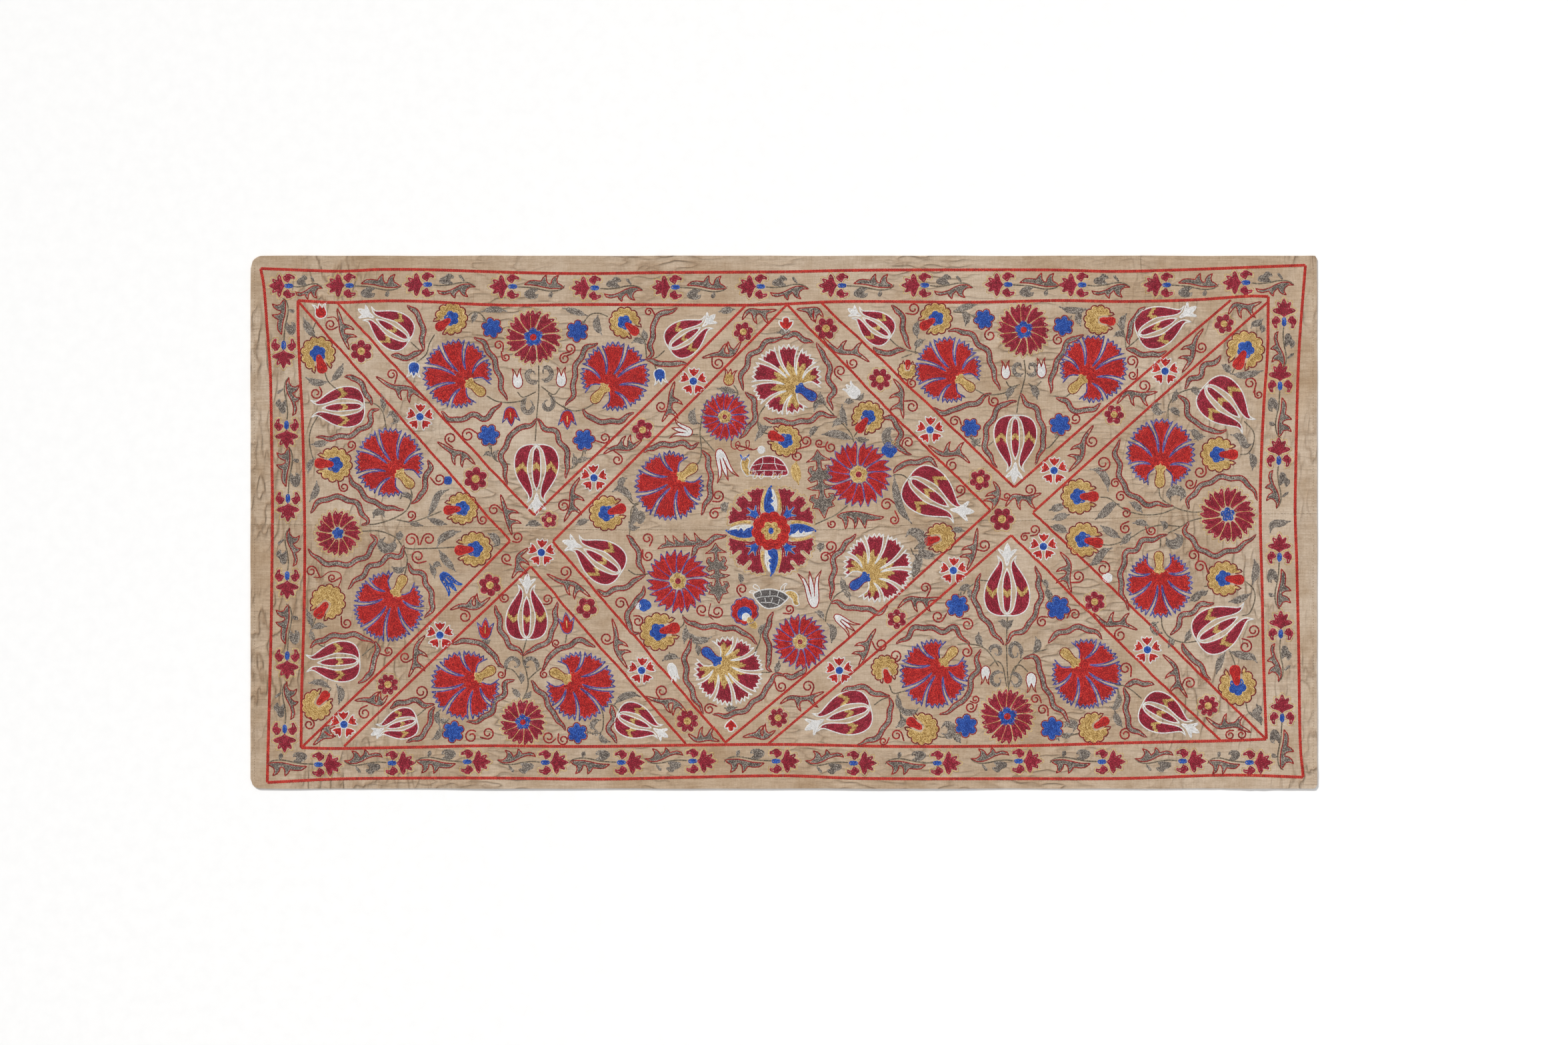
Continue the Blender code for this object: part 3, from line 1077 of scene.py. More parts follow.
# Carnations: middle, foot of the calyx, reach, petals, thread scheme.
CARNATIONS = (
    (686, 561, 715, 583, 50, 7, "scarlet"),
    (922.7, 565, 903, 587, 50, 7, "scarlet"),
    (584, 694, 605, 716, 50, 7, "scarlet"),
    (583, 910, 597, 883, 51, 7, "scarlet"),
    (1004, 729, 1029, 710, 50, 7, "scarlet"),
    (1422, 555, 1445, 573, 48, 7, "scarlet"),
    (1640, 553, 1618, 575, 49, 7, "scarlet"),
    (1741, 680, 1740, 713, 50, 7, "scarlet"),
    (1739.5, 877, 1738.5, 844, 48, 7, "scarlet"),
    (698, 1028, 729, 1010, 50, 7, "scarlet"),
    (871, 1029.5, 837.5, 1012, 50, 7, "scarlet"),
    (1401, 1011, 1423, 985, 50, 7, "scarlet"),
    (1630, 1011, 1603, 985, 51, 7, "scarlet"),
    (1180, 570, 1206, 587, 51, 8, "crimson"),
    (1317, 852, 1289, 873, 50, 8, "crimson"),
    (1093, 1007, 1070, 987, 50, 8, "crimson"),
)

# Rosettes: middle, reach, petals, thread scheme.
ROSETTES = (
    (800, 506, 41, 12, "crimson"),
    (1535.7, 495, 39, 12, "crimson"),
    (784.5, 1083.5, 34, 11, "crimson"),
    (1511, 1075, 41, 13, "crimson"),
    (507, 800, 34, 11, "crimson plain"),
    (1841.5, 772, 41, 12, "crimson plain"),
    (1087, 625.5, 36, 13, "scarlet"),
    (1288, 712, 48, 13, "scarlet"),
    (1017, 872, 46, 13, "scarlet"),
    (1200, 963, 40, 13, "scarlet"),
)

# Tulips: middle, turn in degrees, length, and where the white finial points, if there is one.
TULIPS = (
    (587, 493, 212, 70, 539, 465),
    (1029.5, 505.5, -33, 67, 1074, 471),
    (805, 705, 90, 82, 805, 766),
    (512, 611, 177, 75, None, None),
    (505, 993, 177, 75, None, None),
    (790, 924, -90, 77, 791, 866),
    (600, 1087, 165, 57, 551, 1106),
    (954, 1083, 22, 65, 1002, 1106),
    (901, 840, 213, 78, 845, 812),
    (1396, 741, 36, 88, 1462, 768),
    (1313, 490, 215, 60, 1271, 463),
    (1739, 489, -23, 76, 1790, 463),
    (1523, 660, 90, 79, 1521, 722),
    (1836, 605, 43, 84, None, None),
    (1829, 942, -30, 84, None, None),
    (1510.5, 885, -90, 84, 1511, 824),
    (1269.5, 1071.5, 165, 81, 1202, 1098),
    (1744, 1072, 27, 74, 1808, 1104),
)


# Palmettes: middle, bud, reach, and whether there is a blue trefoil.
PALMETTES = (
    (677, 478, 657, 492, 24, True), (937, 484, 952, 497, 23, True), (477, 531, 483, 552, 26, True),
    (502, 697, 478, 695, 26, True), (693, 763, 667, 766, 24, True), (910, 770, 935, 762, 26, True),
    (1178, 661, 1156, 652, 24, True), (1404, 478, 1386, 489, 24, True),
    (1648, 480, 1667, 482, 22, False), (1868, 525, 1858, 545, 28, True),
    (1302, 626, 1288, 645, 24, True), (1827, 682, 1855, 682, 26, True),
    (1618, 745, 1645, 745, 26, True), (1361, 556, 1362, 541, 14, False),
    (712, 824, 683, 826, 26, True), (492, 903, 482, 916, 26, False),
    (475, 1058, 489, 1042, 23, False), (988, 948, 1013, 942, 28, True),
    (1411, 807, 1393, 812, 22, False), (1625, 810, 1645, 814, 26, True),
    (1836, 868, 1862, 870, 26, True), (1856, 1030, 1852, 1003, 28, True),
    (1327, 1003, 1333, 1023, 20, False), (1384, 1094, 1366, 1083, 24, False),
    (1640, 1092, 1661, 1080, 23, False),
)

# Blue flowers: middle, reach, turn of the stem in degrees.
BLUE_FLOWERS = (
    (738, 492, 16, 225), (866, 497, 17, -55), (733, 653, 17, 85), (876, 660, 17, 85),
    (1476, 479, 16, 200), (1595, 489, 16, -50), (1456, 642, 15, 85), (1590, 637, 17, 110),
    (680, 1098, 17, 190), (866, 1100, 16, -5), (1436, 909, 18, -75), (1587, 912, 19, 225),
    (1449, 1089, 18, 125), (1578, 1093, 18, 60),
)

# Small tulips: middle, turn in degrees, length, spread, thread, edge thread, kind.
CUPS = (
    (776, 568, -95, 30, 0.78, "white", "brick", "two"),
    (842, 566, -90, 30, 0.78, "white", "brick", "two"),
    (1508.5, 555, -92, 28, 0.74, "white", "brick", "two"),
    (1562, 552, -92, 30, 0.72, "white", "brick", "two"),
    (1478, 1013, 92, 28, 0.78, "white", "brick", "two"),
    (1547, 1024, 88, 30, 0.80, "white", "brick", "two"),
    (1023, 646, 194, 32, 1.0, "white", "brick", "long"),
    (1085, 697, 73, 49, 0.70, "white", "brick", "long"),
    (1278, 586, 225, 29, 0.95, "white", None, "three"),
    (1218, 885, -98, 55, 0.66, "white", "brick", "long"),
    (1267, 935, 38, 39, 0.68, "white", "brick", "long"),
    (1010, 1010, 72, 32, 0.68, "white", None, "three"),
    (1094, 566, -80, 25, 0.95, "ochre", "brick", "three"),
    (766, 625, 84, 29, 0.92, "scarlet", "violet", "spread"),
    (851, 630, 90, 29, 0.95, "scarlet", "violet", "spread"),
    (728, 943, -88, 32, 0.80, "scarlet", "violet", "spread"),
    (850, 935, -95, 32, 0.80, "scarlet", "violet", "spread"),
    (621, 555, 92, 24, 1.1, "blue", "white", "three"),
    (990, 565, 80, 24, 1.1, "blue", "white", "three"),
    (674, 874, 50, 38, 0.9, "blue", None, "long"),
    (481, 466.5, -100, 23, 1.15, "scarlet", "white", "three"),
)


# Round flowers of the bands: middle, reach, petals.
BAND_FLOWERS = (
    (542, 527, 17, 6), (713.5, 718.5, 18, 6), (824, 780, 12, 5), (964, 645, 16, 5),
    (1115, 498, 15, 6), (1239, 493, 17, 6), (1320, 569, 17, 7), (1470, 720, 16, 6),
    (1503, 779, 18, 6), (1671, 622, 15, 6), (1836, 486, 15, 6), (735, 878, 17, 6),
    (582, 1027, 16, 8), (880, 912, 16, 5), (1031, 1082, 17, 8), (1167, 1077, 15, 7),
    (1345, 929, 15, 6), (1642, 903, 16, 6), (1812, 1059, 16, 8),
)

# Middles of the flowers of five toothed petals.
HEART_FLOWERS = (
    (630, 625.5), (891, 717), (1040, 572), (1395, 645), (1581, 706), (1747.5, 557), (812, 829),
    (660, 953), (516, 1087), (962.5, 1006), (1430, 856), (1565, 820), (1721, 975), (1259, 1006),
)

# Thorn leaves of the bands: the side of the thorns, then points along the middle.
THORN_LEAVES = (
    (-1, (506, 463), (511, 482), (514, 500), (524, 525)),
    (1, (564, 565), (588, 580), (615, 584), (640, 602)),
    (1, (656, 663), (678, 677), (697, 682), (713, 697)),
    (-1, (751, 742), (757, 762), (763, 785), (768, 803)),
    (-1, (870, 716), (859, 735), (857, 760), (846, 783)),
    (-1, (905, 681), (922, 672), (945, 672), (963, 660)),
    (-1, (1012, 572), (1007, 590), (1004, 612), (993, 633)),
    (-1, (1053, 537), (1075, 532), (1097, 532), (1112, 512)),
    (1, (1113, 480), (1123, 467), (1143, 468), (1165, 465)),
    (1, (1195, 464), (1212, 465), (1226, 465), (1235, 476)),
    (-1, (1233, 505), (1255, 526), (1283, 530), (1304, 543)),
    (1, (1340, 568), (1352, 585), (1352, 605), (1355, 628)),
    (-1, (1392, 668), (1413, 681), (1438, 681), (1455, 695)),
    (1, (1490, 722), (1497, 735), (1495, 750), (1488, 765)),
    (1, (1508, 760), (1520, 745), (1540, 747), (1562, 740)),
    (1, (1640, 638), (1626, 660), (1622, 685), (1603, 708)),
    (1, (1675, 606), (1690, 590), (1712, 592), (1736, 588)),
    (1, (1805, 493), (1793, 510), (1787, 538), (1773, 559)),
    (1, (1842, 472), (1852, 458), (1872, 460), (1892, 453)),
    (-1, (793, 822), (778, 835), (776, 852), (768, 868)),
    (-1, (675, 915), (692, 909), (715, 911), (736, 896)),
    (-1, (638, 953), (625, 970), (622, 995), (613, 1016)),
    (-1, (532, 1051), (550, 1050), (570, 1056), (582, 1043)),
    (1, (470, 1118), (482, 1106), (488, 1093), (503, 1090)),
    (1, (820, 861), (840, 872), (862, 877), (886, 896)),
    (-1, (918, 928), (924, 950), (925, 975), (941, 1003)),
    (1, (968, 1045), (990, 1052), (1012, 1053), (1032, 1072)),
    (-1, (1032, 1101), (1045, 1110), (1062, 1108), (1079, 1112)),
    (-1, (1114, 1106), (1130, 1103), (1147, 1106), (1163, 1096)),
    (1, (1170, 1056), (1185, 1047), (1208, 1048), (1236, 1038)),
    (1, (1314, 943), (1304, 960), (1298, 980), (1288, 1000)),
    (1, (1346, 913), (1362, 899), (1385, 900), (1412, 897)),
    (1, (1466, 792), (1463, 815), (1459, 835), (1450, 856)),
    (1, (1590, 828), (1603, 845), (1602, 868), (1607, 889)),
    (-1, (1640, 920), (1658, 936), (1682, 936), (1706, 945)),
    (1, (1744, 982), (1762, 1000), (1768, 1025), (1781, 1047)),
    (-1, (1808, 1076), (1828, 1090), (1852, 1088), (1876, 1099)),
)

# Long wavy leaves: points along the middle.
RIBBONS = (
    ((611, 458), (622, 468), (632, 482), (634, 505), (635, 527)),
    ((587, 533), (605, 536), (622, 533), (634, 525)),
    ((517, 565), (532, 567), (545, 582), (554, 598), (558, 608)),
    ((711, 506), (726, 516), (738, 535), (748, 560), (752, 580), (761, 601)),
    ((897, 515), (880, 523), (867, 543), (861, 565), (860, 590), (848, 609)),
    ((1016, 462), (1000, 470), (985, 474), (981, 492), (976, 515), (978, 530), (968, 540)),
    ((970, 540), (985, 543), (1002, 548), (1016, 544), (1031, 547)),
    ((1175, 507), (1155, 511), (1140, 523), (1125, 535), (1118, 552), (1111, 570), (1115, 586)),
    ((1118, 588), (1130, 602), (1133, 622), (1124, 642), (1109, 658)),
    ((569, 614), (558, 617), (556, 632), (543, 644), (522, 654), (498, 657), (474, 656)),
    ((523, 711), (531, 726), (546, 742), (556, 752), (572, 758), (585, 763), (606, 765)),
    ((642, 690), (645, 704), (637, 722), (635, 740), (617, 756)),
    ((466, 770), (474, 758), (490, 748), (512, 747), (532, 754), (544, 770), (551, 783),
     (542, 788)),
    ((662, 617), (674, 628), (690, 631), (706, 622), (724, 628), (737, 620), (753, 604)),
    ((805, 628), (793, 640), (774, 644), (764, 660), (753, 680), (757, 705), (761, 727)),
    ((806, 628), (818, 642), (835, 650), (842, 666), (852, 682), (850, 700), (849, 718)),
    ((874, 614), (886, 628), (904, 632), (924, 633), (938, 626), (951, 619)),
    ((966, 679), (975, 672), (1000, 667), (1024, 666), (1038, 670), (1048, 664)),
    ((1053, 675), (1062, 690), (1065, 715), (1065, 740), (1052, 773)),
    ((1145, 627), (1163, 632), (1187, 634), (1210, 632), (1232, 622), (1255, 626)),
    ((1225, 514), (1232, 530), (1243, 545), (1243, 566), (1250, 586), (1245, 600), (1249, 616)),
    ((1172, 507), (1190, 502), (1204, 508), (1220, 514)),
    ((1322, 627), (1340, 630), (1350, 648), (1347, 665), (1356, 679), (1367, 682)),
    ((1340, 710), (1352, 697), (1370, 695), (1385, 690), (1397, 692), (1406, 701)),
    ((940, 803), (952, 816), (958, 835), (961, 850), (967, 861)),
    ((895, 885), (910, 890), (930, 882), (946, 878), (956, 868), (968, 863)),
    ((1037, 836), (1046, 822), (1062, 813), (1075, 807), (1090, 803)),
    ((966, 879), (962, 895), (948, 908), (942, 925), (943, 940), (950, 949), (960, 950)),
    ((1024, 925), (1038, 937), (1062, 940), (1090, 942), (1115, 948), (1126, 958), (1136, 967)),
    ((1038, 958), (1029, 980), (1028, 1000), (1031, 1022), (1040, 1042), (1055, 1071)),
    ((1160, 918), (1151, 940), (1150, 960), (1155, 982), (1150, 1000), (1158, 1008)),
    ((1069, 1072), (1092, 1073), (1115, 1066), (1135, 1050), (1152, 1032), (1160, 1014),
     (1180, 1014)), ((1174, 1012), (1190, 1015), (1203, 1010), (1209, 999)),
    ((1284, 801), (1266, 820), (1252, 836), (1250, 860), (1247, 882), (1246, 901)),
    ((1246, 905), (1258, 904), (1275, 913), (1298, 912), (1315, 920), (1332, 909)),
    ((1337, 458), (1350, 470), (1355, 490), (1357, 508), (1366, 524)),
    ((1310, 521), (1320, 530), (1338, 528), (1358, 525)),
    ((1422, 497), (1440, 496), (1458, 504), (1470, 518), (1484, 532), (1488, 552), (1500, 586)),
    ((1398, 612), (1420, 620), (1440, 610), (1460, 607), (1475, 596), (1487, 590)),
    ((1525, 602), (1505, 606), (1492, 622), (1480, 645), (1478, 668), (1486, 688), (1496, 702)),
    ((1530, 590), (1541, 605), (1556, 617), (1562, 638), (1566, 655), (1560, 680), (1553, 697)),
    ((1584, 597), (1597, 601), (1607, 613), (1625, 617), (1640, 613), (1651, 605)),
    ((1626, 503), (1610, 508), (1598, 520), (1588, 540), (1579, 560), (1576, 590)),
    ((1718, 461), (1705, 472), (1697, 490), (1692, 505), (1694, 517)),
    ((1689, 523), (1706, 529), (1730, 533), (1750, 527)),
    ((1831, 533), (1826, 541), (1808, 548), (1800, 563), (1786, 570), (1777, 584)),
    ((1766, 593), (1777, 600), (1781, 618), (1792, 634), (1808, 641), (1822, 649), (1840, 645)),
    ((1680, 659), (1673, 676), (1678, 697), (1681, 718), (1692, 738), (1720, 756), (1738, 757),
     (1760, 759)),
    ((1783, 764), (1783, 750), (1797, 734), (1816, 722), (1836, 716), (1860, 719), (1876, 730),
     (1886, 751)),
    ((1783, 782), (1778, 797), (1791, 814), (1803, 826), (1818, 833), (1838, 829), (1862, 820),
     (1884, 802)),
    ((1751, 802), (1735, 807), (1715, 812), (1703, 824), (1690, 830), (1684, 850), (1681, 880),
     (1693, 916)), ((1821, 905), (1800, 909), (1785, 920), (1770, 927), (1765, 944), (1755, 953)),
    ((1773, 965), (1783, 985), (1799, 995), (1804, 1009), (1816, 1020)),
    ((555, 801), (563, 812), (554, 828), (543, 838), (518, 847), (492, 845), (475, 838),
     (462, 823)),
    ((606, 818), (602, 833), (586, 834), (573, 843), (556, 850), (545, 862), (533, 872),
     (522, 884)),
    ((612, 845), (620, 857), (636, 864), (641, 880), (648, 895), (648, 912), (637, 927)),
    ((465, 972), (478, 962), (500, 955), (522, 953), (542, 955), (562, 965)),
    ((563, 962), (566, 980), (558, 998), (556, 1012), (537, 1025)),
    ((743, 908), (748, 928), (753, 948), (763, 966), (776, 974), (785, 984)),
    ((836, 903), (833, 925), (829, 948), (815, 968), (797, 974), (785, 984)),
    ((678, 966), (694, 963), (708, 961), (722, 968), (736, 976), (745, 992), (756, 1002)),
    ((893, 971), (880, 964), (863, 962), (848, 972), (830, 978), (822, 992), (813, 1005)),
    ((772, 1020), (760, 1024), (756, 1040), (744, 1053), (735, 1070), (718, 1081), (700, 1083)),
    ((797, 1021), (808, 1036), (820, 1050), (830, 1072), (842, 1084), (848, 1096)),
    ((585, 1063), (600, 1055), (620, 1051), (636, 1057), (652, 1057)),
    ((652, 1060), (645, 1075), (643, 1090), (632, 1104), (610, 1114)),
    ((917, 1058), (920, 1074), (914, 1090), (919, 1104), (925, 1115)),
    ((1553, 849), (1558, 872), (1560, 900), (1550, 925), (1540, 942), (1520, 952), (1508, 968)),
    ((1471, 860), (1463, 885), (1464, 908), (1478, 930), (1492, 950), (1506, 968)),
    ((1344, 966), (1360, 956), (1372, 943), (1390, 941), (1412, 947), (1432, 943), (1446, 960),
     (1455, 966)),
    ((1471, 974), (1465, 992), (1466, 1008), (1455, 1022), (1454, 1042), (1438, 1054), (1428, 1065),
     (1409, 1072)),
    ((1534, 988), (1548, 985), (1559, 998), (1562, 1018), (1572, 1038), (1580, 1056), (1594, 1070),
     (1605, 1085)),
    ((1572, 965), (1580, 955), (1596, 948), (1612, 942), (1632, 944), (1646, 951), (1653, 959)),
    ((1262, 1038), (1276, 1032), (1300, 1033), (1316, 1042), (1335, 1044)),
    ((1334, 1046), (1337, 1062), (1331, 1082), (1323, 1098), (1308, 1110), (1285, 1118)),
    ((1686, 1031), (1690, 1052), (1690, 1075), (1698, 1094), (1720, 1106)),
    ((1687, 1029), (1703, 1024), (1718, 1025), (1731, 1027)),
)

# Plain grey leaves and hooks: half width, then points along the middle.
LEAVES = (
    (5.0, (455, 476), (461, 490), (468, 500), (475, 508)),
    (4.6, (458, 566), (474, 574), (493, 573)), (4.6, (515, 545), (508, 560), (496, 573)),
    (3.6, (718, 468), (712, 474), (708, 485)), (4.2, (721, 468), (740, 464), (761, 467)),
    (4.2, (843, 462), (861, 467), (882, 474)), (5.0, (897, 472), (895, 488), (903, 503)),
    (4.0, (965, 494), (967, 503), (970, 512)), (4.0, (947, 515), (957, 510), (970, 517)),
    (4.4, (1077, 468), (1088, 466), (1103, 464)), (4.2, (1075, 583), (1090, 585), (1107, 590)),
    (5.0, (1043, 612), (1038, 622), (1040, 632), (1050, 636)),
    (4.6, (1165, 500), (1177, 498), (1190, 501)), (3.8, (572, 590), (575, 603), (576, 618)),
    (4.6, (580, 627), (587, 620), (595, 626), (592, 634), (586, 636)),
    (4.4, (466, 667), (479, 666), (494, 663)), (4.0, (472, 686), (465, 697), (462, 711)),
    (4.4, (475, 721), (474, 737), (464, 753)),
    (4.6, (674, 734), (658, 742), (650, 760), (641, 777)),
    (4.2, (641, 777), (655, 783), (671, 787)),
    (3.6, (600, 749), (605, 742), (614, 745), (617, 754)),
    (4.6, (560, 778), (563, 770), (572, 768), (577, 776)),
    (3.2, (610, 783), (622, 786), (635, 789)), (3.0, (725, 684), (732, 680), (742, 686)),
    (3.4, (748, 675), (742, 682), (745, 692)), (3.4, (860, 680), (862, 692), (858, 702)),
    (3.4, (862, 696), (872, 690), (886, 687)), (4.2, (788, 789), (799, 785), (813, 788)),
    (4.0, (863, 788), (873, 783), (884, 780)),
    (5.0, (918, 738), (930, 733), (942, 742), (949, 752)),
    (4.4, (941, 717), (932, 722), (930, 734)), (4.6, (951, 755), (953, 772), (944, 792)),
    (4.8, (952, 768), (962, 772), (960, 782), (952, 780)),
    (3.6, (943, 782), (948, 792), (960, 791)), (5.0, (1093, 754), (1086, 760), (1089, 769)),
    (4.0, (1158, 640), (1146, 643), (1139, 652), (1132, 662)),
    (3.4, (1139, 634), (1142, 642), (1140, 652)), (3.8, (1229, 640), (1220, 645), (1215, 656)),
    (5.4, (1232, 652), (1252, 651), (1268, 655), (1281, 660)),
    (3.8, (1282, 657), (1293, 660), (1304, 660)), (4.2, (1263, 606), (1264, 622), (1271, 640)),
    (4.4, (1270, 632), (1256, 633), (1248, 641)), (3.6, (1240, 606), (1226, 604), (1221, 618)),
    (3.8, (1230, 588), (1231, 598), (1239, 607)), (4.0, (1266, 604), (1273, 602), (1281, 603)),
    (4.0, (1283, 600), (1290, 596), (1296, 590)),
    (5.4, (1341, 712), (1344, 738), (1352, 765), (1368, 786)),
    (6.4, (1349, 652), (1345, 664), (1334, 665), (1329, 654), (1335, 643), (1343, 645)),
    (4.0, (1425, 797), (1436, 795), (1448, 797)),
    (7.0, (1358, 806), (1366, 798), (1380, 803), (1384, 816), (1372, 824)),
    (5.6, (1376, 818), (1388, 832), (1407, 832)),
    (6.0, (1368, 830), (1378, 838), (1374, 852), (1369, 870)),
    (5.0, (1236, 814), (1231, 820), (1230, 828)), (4.0, (1262, 866), (1265, 880), (1262, 888)),
    (3.4, (1262, 886), (1272, 892), (1275, 902)), (3.0, (1262, 886), (1270, 882), (1277, 879)),
    (4.6, (1240, 935), (1250, 945), (1247, 965)), (3.6, (1222, 918), (1230, 920), (1236, 930)),
    (3.6, (1108, 860), (1112, 868), (1111, 876)), (4.0, (1029, 938), (1028, 952), (1026, 966)),
    (5.0, (1030, 946), (1042, 960), (1058, 960), (1068, 955)),
    (4.0, (1044, 966), (1048, 976), (1047, 984)),
    (4.0, (993, 992), (1002, 986), (1010, 985), (1020, 988)),
    (4.6, (1150, 934), (1142, 946), (1140, 956)), (4.0, (1086, 1062), (1095, 1064), (1106, 1061)),
    (3.8, (1169, 990), (1166, 1002), (1162, 1012)), (4.6, (1378, 480), (1374, 493), (1376, 508)),
    (4.2, (1388, 509), (1377, 515), (1373, 525)), (4.4, (1430, 467), (1447, 461), (1466, 457)),
    (4.6, (1440, 466), (1450, 475), (1448, 490)), (4.6, (1524, 580), (1514, 588), (1511, 600)),
    (5.0, (1544, 577), (1552, 585), (1556, 600)), (3.6, (1458, 655), (1462, 668), (1460, 672)),
    (3.4, (1471, 657), (1466, 664), (1468, 670)),
    (4.4, (1588, 460), (1602, 465), (1618, 466), (1634, 463)),
    (4.4, (1624, 466), (1617, 476), (1621, 490)), (4.6, (1690, 470), (1682, 485), (1686, 500)),
    (4.0, (1670, 505), (1680, 500), (1688, 507)),
    (4.4, (1895, 478), (1888, 484), (1880, 487), (1876, 493)),
    (3.8, (1890, 486), (1894, 494), (1892, 500)), (4.6, (1832, 547), (1840, 552), (1846, 561)),
    (4.8, (1845, 561), (1868, 563), (1895, 556)), (4.0, (1765, 584), (1763, 594), (1758, 604)),
    (4.4, (1783, 584), (1794, 586), (1797, 596)),
    (5.0, (1748, 618), (1736, 618), (1732, 608), (1742, 606)),
    (4.4, (1752, 614), (1762, 616), (1769, 625)), (5.0, (1783, 645), (1793, 650), (1797, 662)),
    (3.8, (1790, 660), (1800, 655), (1808, 655)),
    (5.4, (1845, 652), (1860, 656), (1868, 668), (1880, 666)),
    (4.8, (1873, 678), (1880, 690), (1878, 706)),
    (5.0, (1634, 704), (1650, 707), (1660, 722), (1662, 738)),
    (4.4, (1693, 753), (1703, 758), (1714, 770)),
    (5.6, (1680, 756), (1668, 758), (1656, 770), (1642, 780)),
    (5.0, (1573, 766), (1585, 762), (1600, 758)), (4.8, (1577, 780), (1592, 775), (1605, 772)),
    (6.6, (1756, 752), (1754, 742), (1764, 735), (1774, 742), (1770, 752)),
    (6.6, (1748, 805), (1754, 815), (1765, 816), (1769, 806), (1762, 800)),
    (4.2, (1698, 785), (1712, 784), (1724, 790)), (3.8, (1740, 782), (1748, 788), (1745, 796)),
    (5.2, (1650, 788), (1663, 797), (1682, 808)), (4.6, (1697, 798), (1690, 808), (1680, 818)),
    (5.4, (1669, 822), (1655, 828), (1644, 842), (1632, 850)),
    (5.4, (1575, 790), (1590, 793), (1602, 800)), (5.0, (1881, 838), (1884, 855), (1878, 878)),
    (4.6, (1842, 903), (1858, 900), (1877, 890)), (5.0, (1783, 903), (1795, 895), (1804, 884)),
    (3.6, (1796, 890), (1806, 890), (1812, 886)),
    (5.2, (1744, 950), (1734, 948), (1730, 938), (1738, 933)),
    (4.4, (1754, 955), (1757, 962), (1752, 972)), (4.0, (1785, 943), (1782, 955), (1776, 964)),
    (4.6, (1838, 978), (1830, 992), (1824, 1012)),
    (5.4, (1843, 977), (1862, 983), (1878, 986), (1886, 995)),
    (5.4, (1884, 1056), (1888, 1064), (1880, 1072), (1874, 1068)),
    (4.4, (1876, 1070), (1888, 1077), (1892, 1088)), (3.8, (460, 914), (465, 928), (468, 942)),
    (4.2, (467, 944), (478, 939), (491, 940)), (3.4, (466, 944), (468, 955), (474, 962)),
    (4.2, (587, 850), (598, 856), (609, 850)), (6.0, (594, 800), (598, 803), (606, 803)),
    (6.6, (593, 808), (589, 820), (578, 823), (571, 814), (578, 806)),
    (5.0, (655, 822), (663, 808), (678, 800), (692, 797)),
    (5.0, (658, 824), (668, 840), (684, 858)),
    (5.0, (731, 800), (742, 806), (746, 816), (740, 820)),
    (3.8, (644, 845), (650, 856), (652, 868)), (3.8, (649, 852), (656, 846), (662, 850)),
    (4.0, (462, 1025), (480, 1024), (497, 1033)), (4.6, (504, 1026), (512, 1040), (508, 1057)),
    (3.8, (722, 961), (730, 963), (736, 960)), (3.6, (780, 1008), (783, 1016), (782, 1026)),
    (3.8, (768, 1032), (775, 1040), (781, 1048)), (3.6, (797, 1037), (792, 1044), (786, 1048)),
    (3.6, (661, 1064), (655, 1075), (660, 1090)), (4.0, (658, 1078), (668, 1083), (674, 1078)),
    (4.0, (660, 1090), (657, 1104), (647, 1110)),
    (4.6, (920, 1058), (934, 1046), (950, 1042), (962, 1046)),
    (3.8, (902, 1080), (893, 1082), (888, 1090), (895, 1096)),
    (3.8, (900, 1098), (904, 1110), (916, 1113)), (3.4, (888, 1102), (894, 1100), (901, 1100)),
    (4.4, (1457, 878), (1446, 882), (1438, 886)), (3.6, (1452, 882), (1455, 890), (1455, 900)),
    (4.6, (1468, 948), (1468, 960), (1474, 970)), (4.6, (1553, 955), (1557, 968), (1549, 982)),
    (4.0, (1497, 932), (1505, 934), (1510, 944)), (3.6, (1520, 930), (1514, 936), (1511, 946)),
    (4.4, (1569, 880), (1573, 892), (1582, 900)), (3.6, (1562, 870), (1568, 874), (1572, 882)),
    (3.8, (1345, 1042), (1348, 1056), (1350, 1068)),
    (4.4, (1350, 1056), (1357, 1068), (1372, 1068), (1378, 1062)),
    (4.4, (1352, 1072), (1354, 1084), (1343, 1092)),
    (5.8, (1412, 1100), (1424, 1104), (1428, 1092), (1418, 1086), (1412, 1092)),
    (4.0, (1428, 1104), (1436, 1108), (1441, 1115)),
    (4.4, (1664, 1060), (1672, 1062), (1678, 1050), (1676, 1038)),
    (4.6, (1672, 1066), (1676, 1080), (1684, 1092)),
    (5.6, (1596, 1092), (1602, 1086), (1612, 1088), (1610, 1098)),
    (3.8, (1588, 1098), (1598, 1104), (1610, 1100)),
    (5.0, (1936, 782), (1922, 785), (1909, 787), (1905, 800)),
)

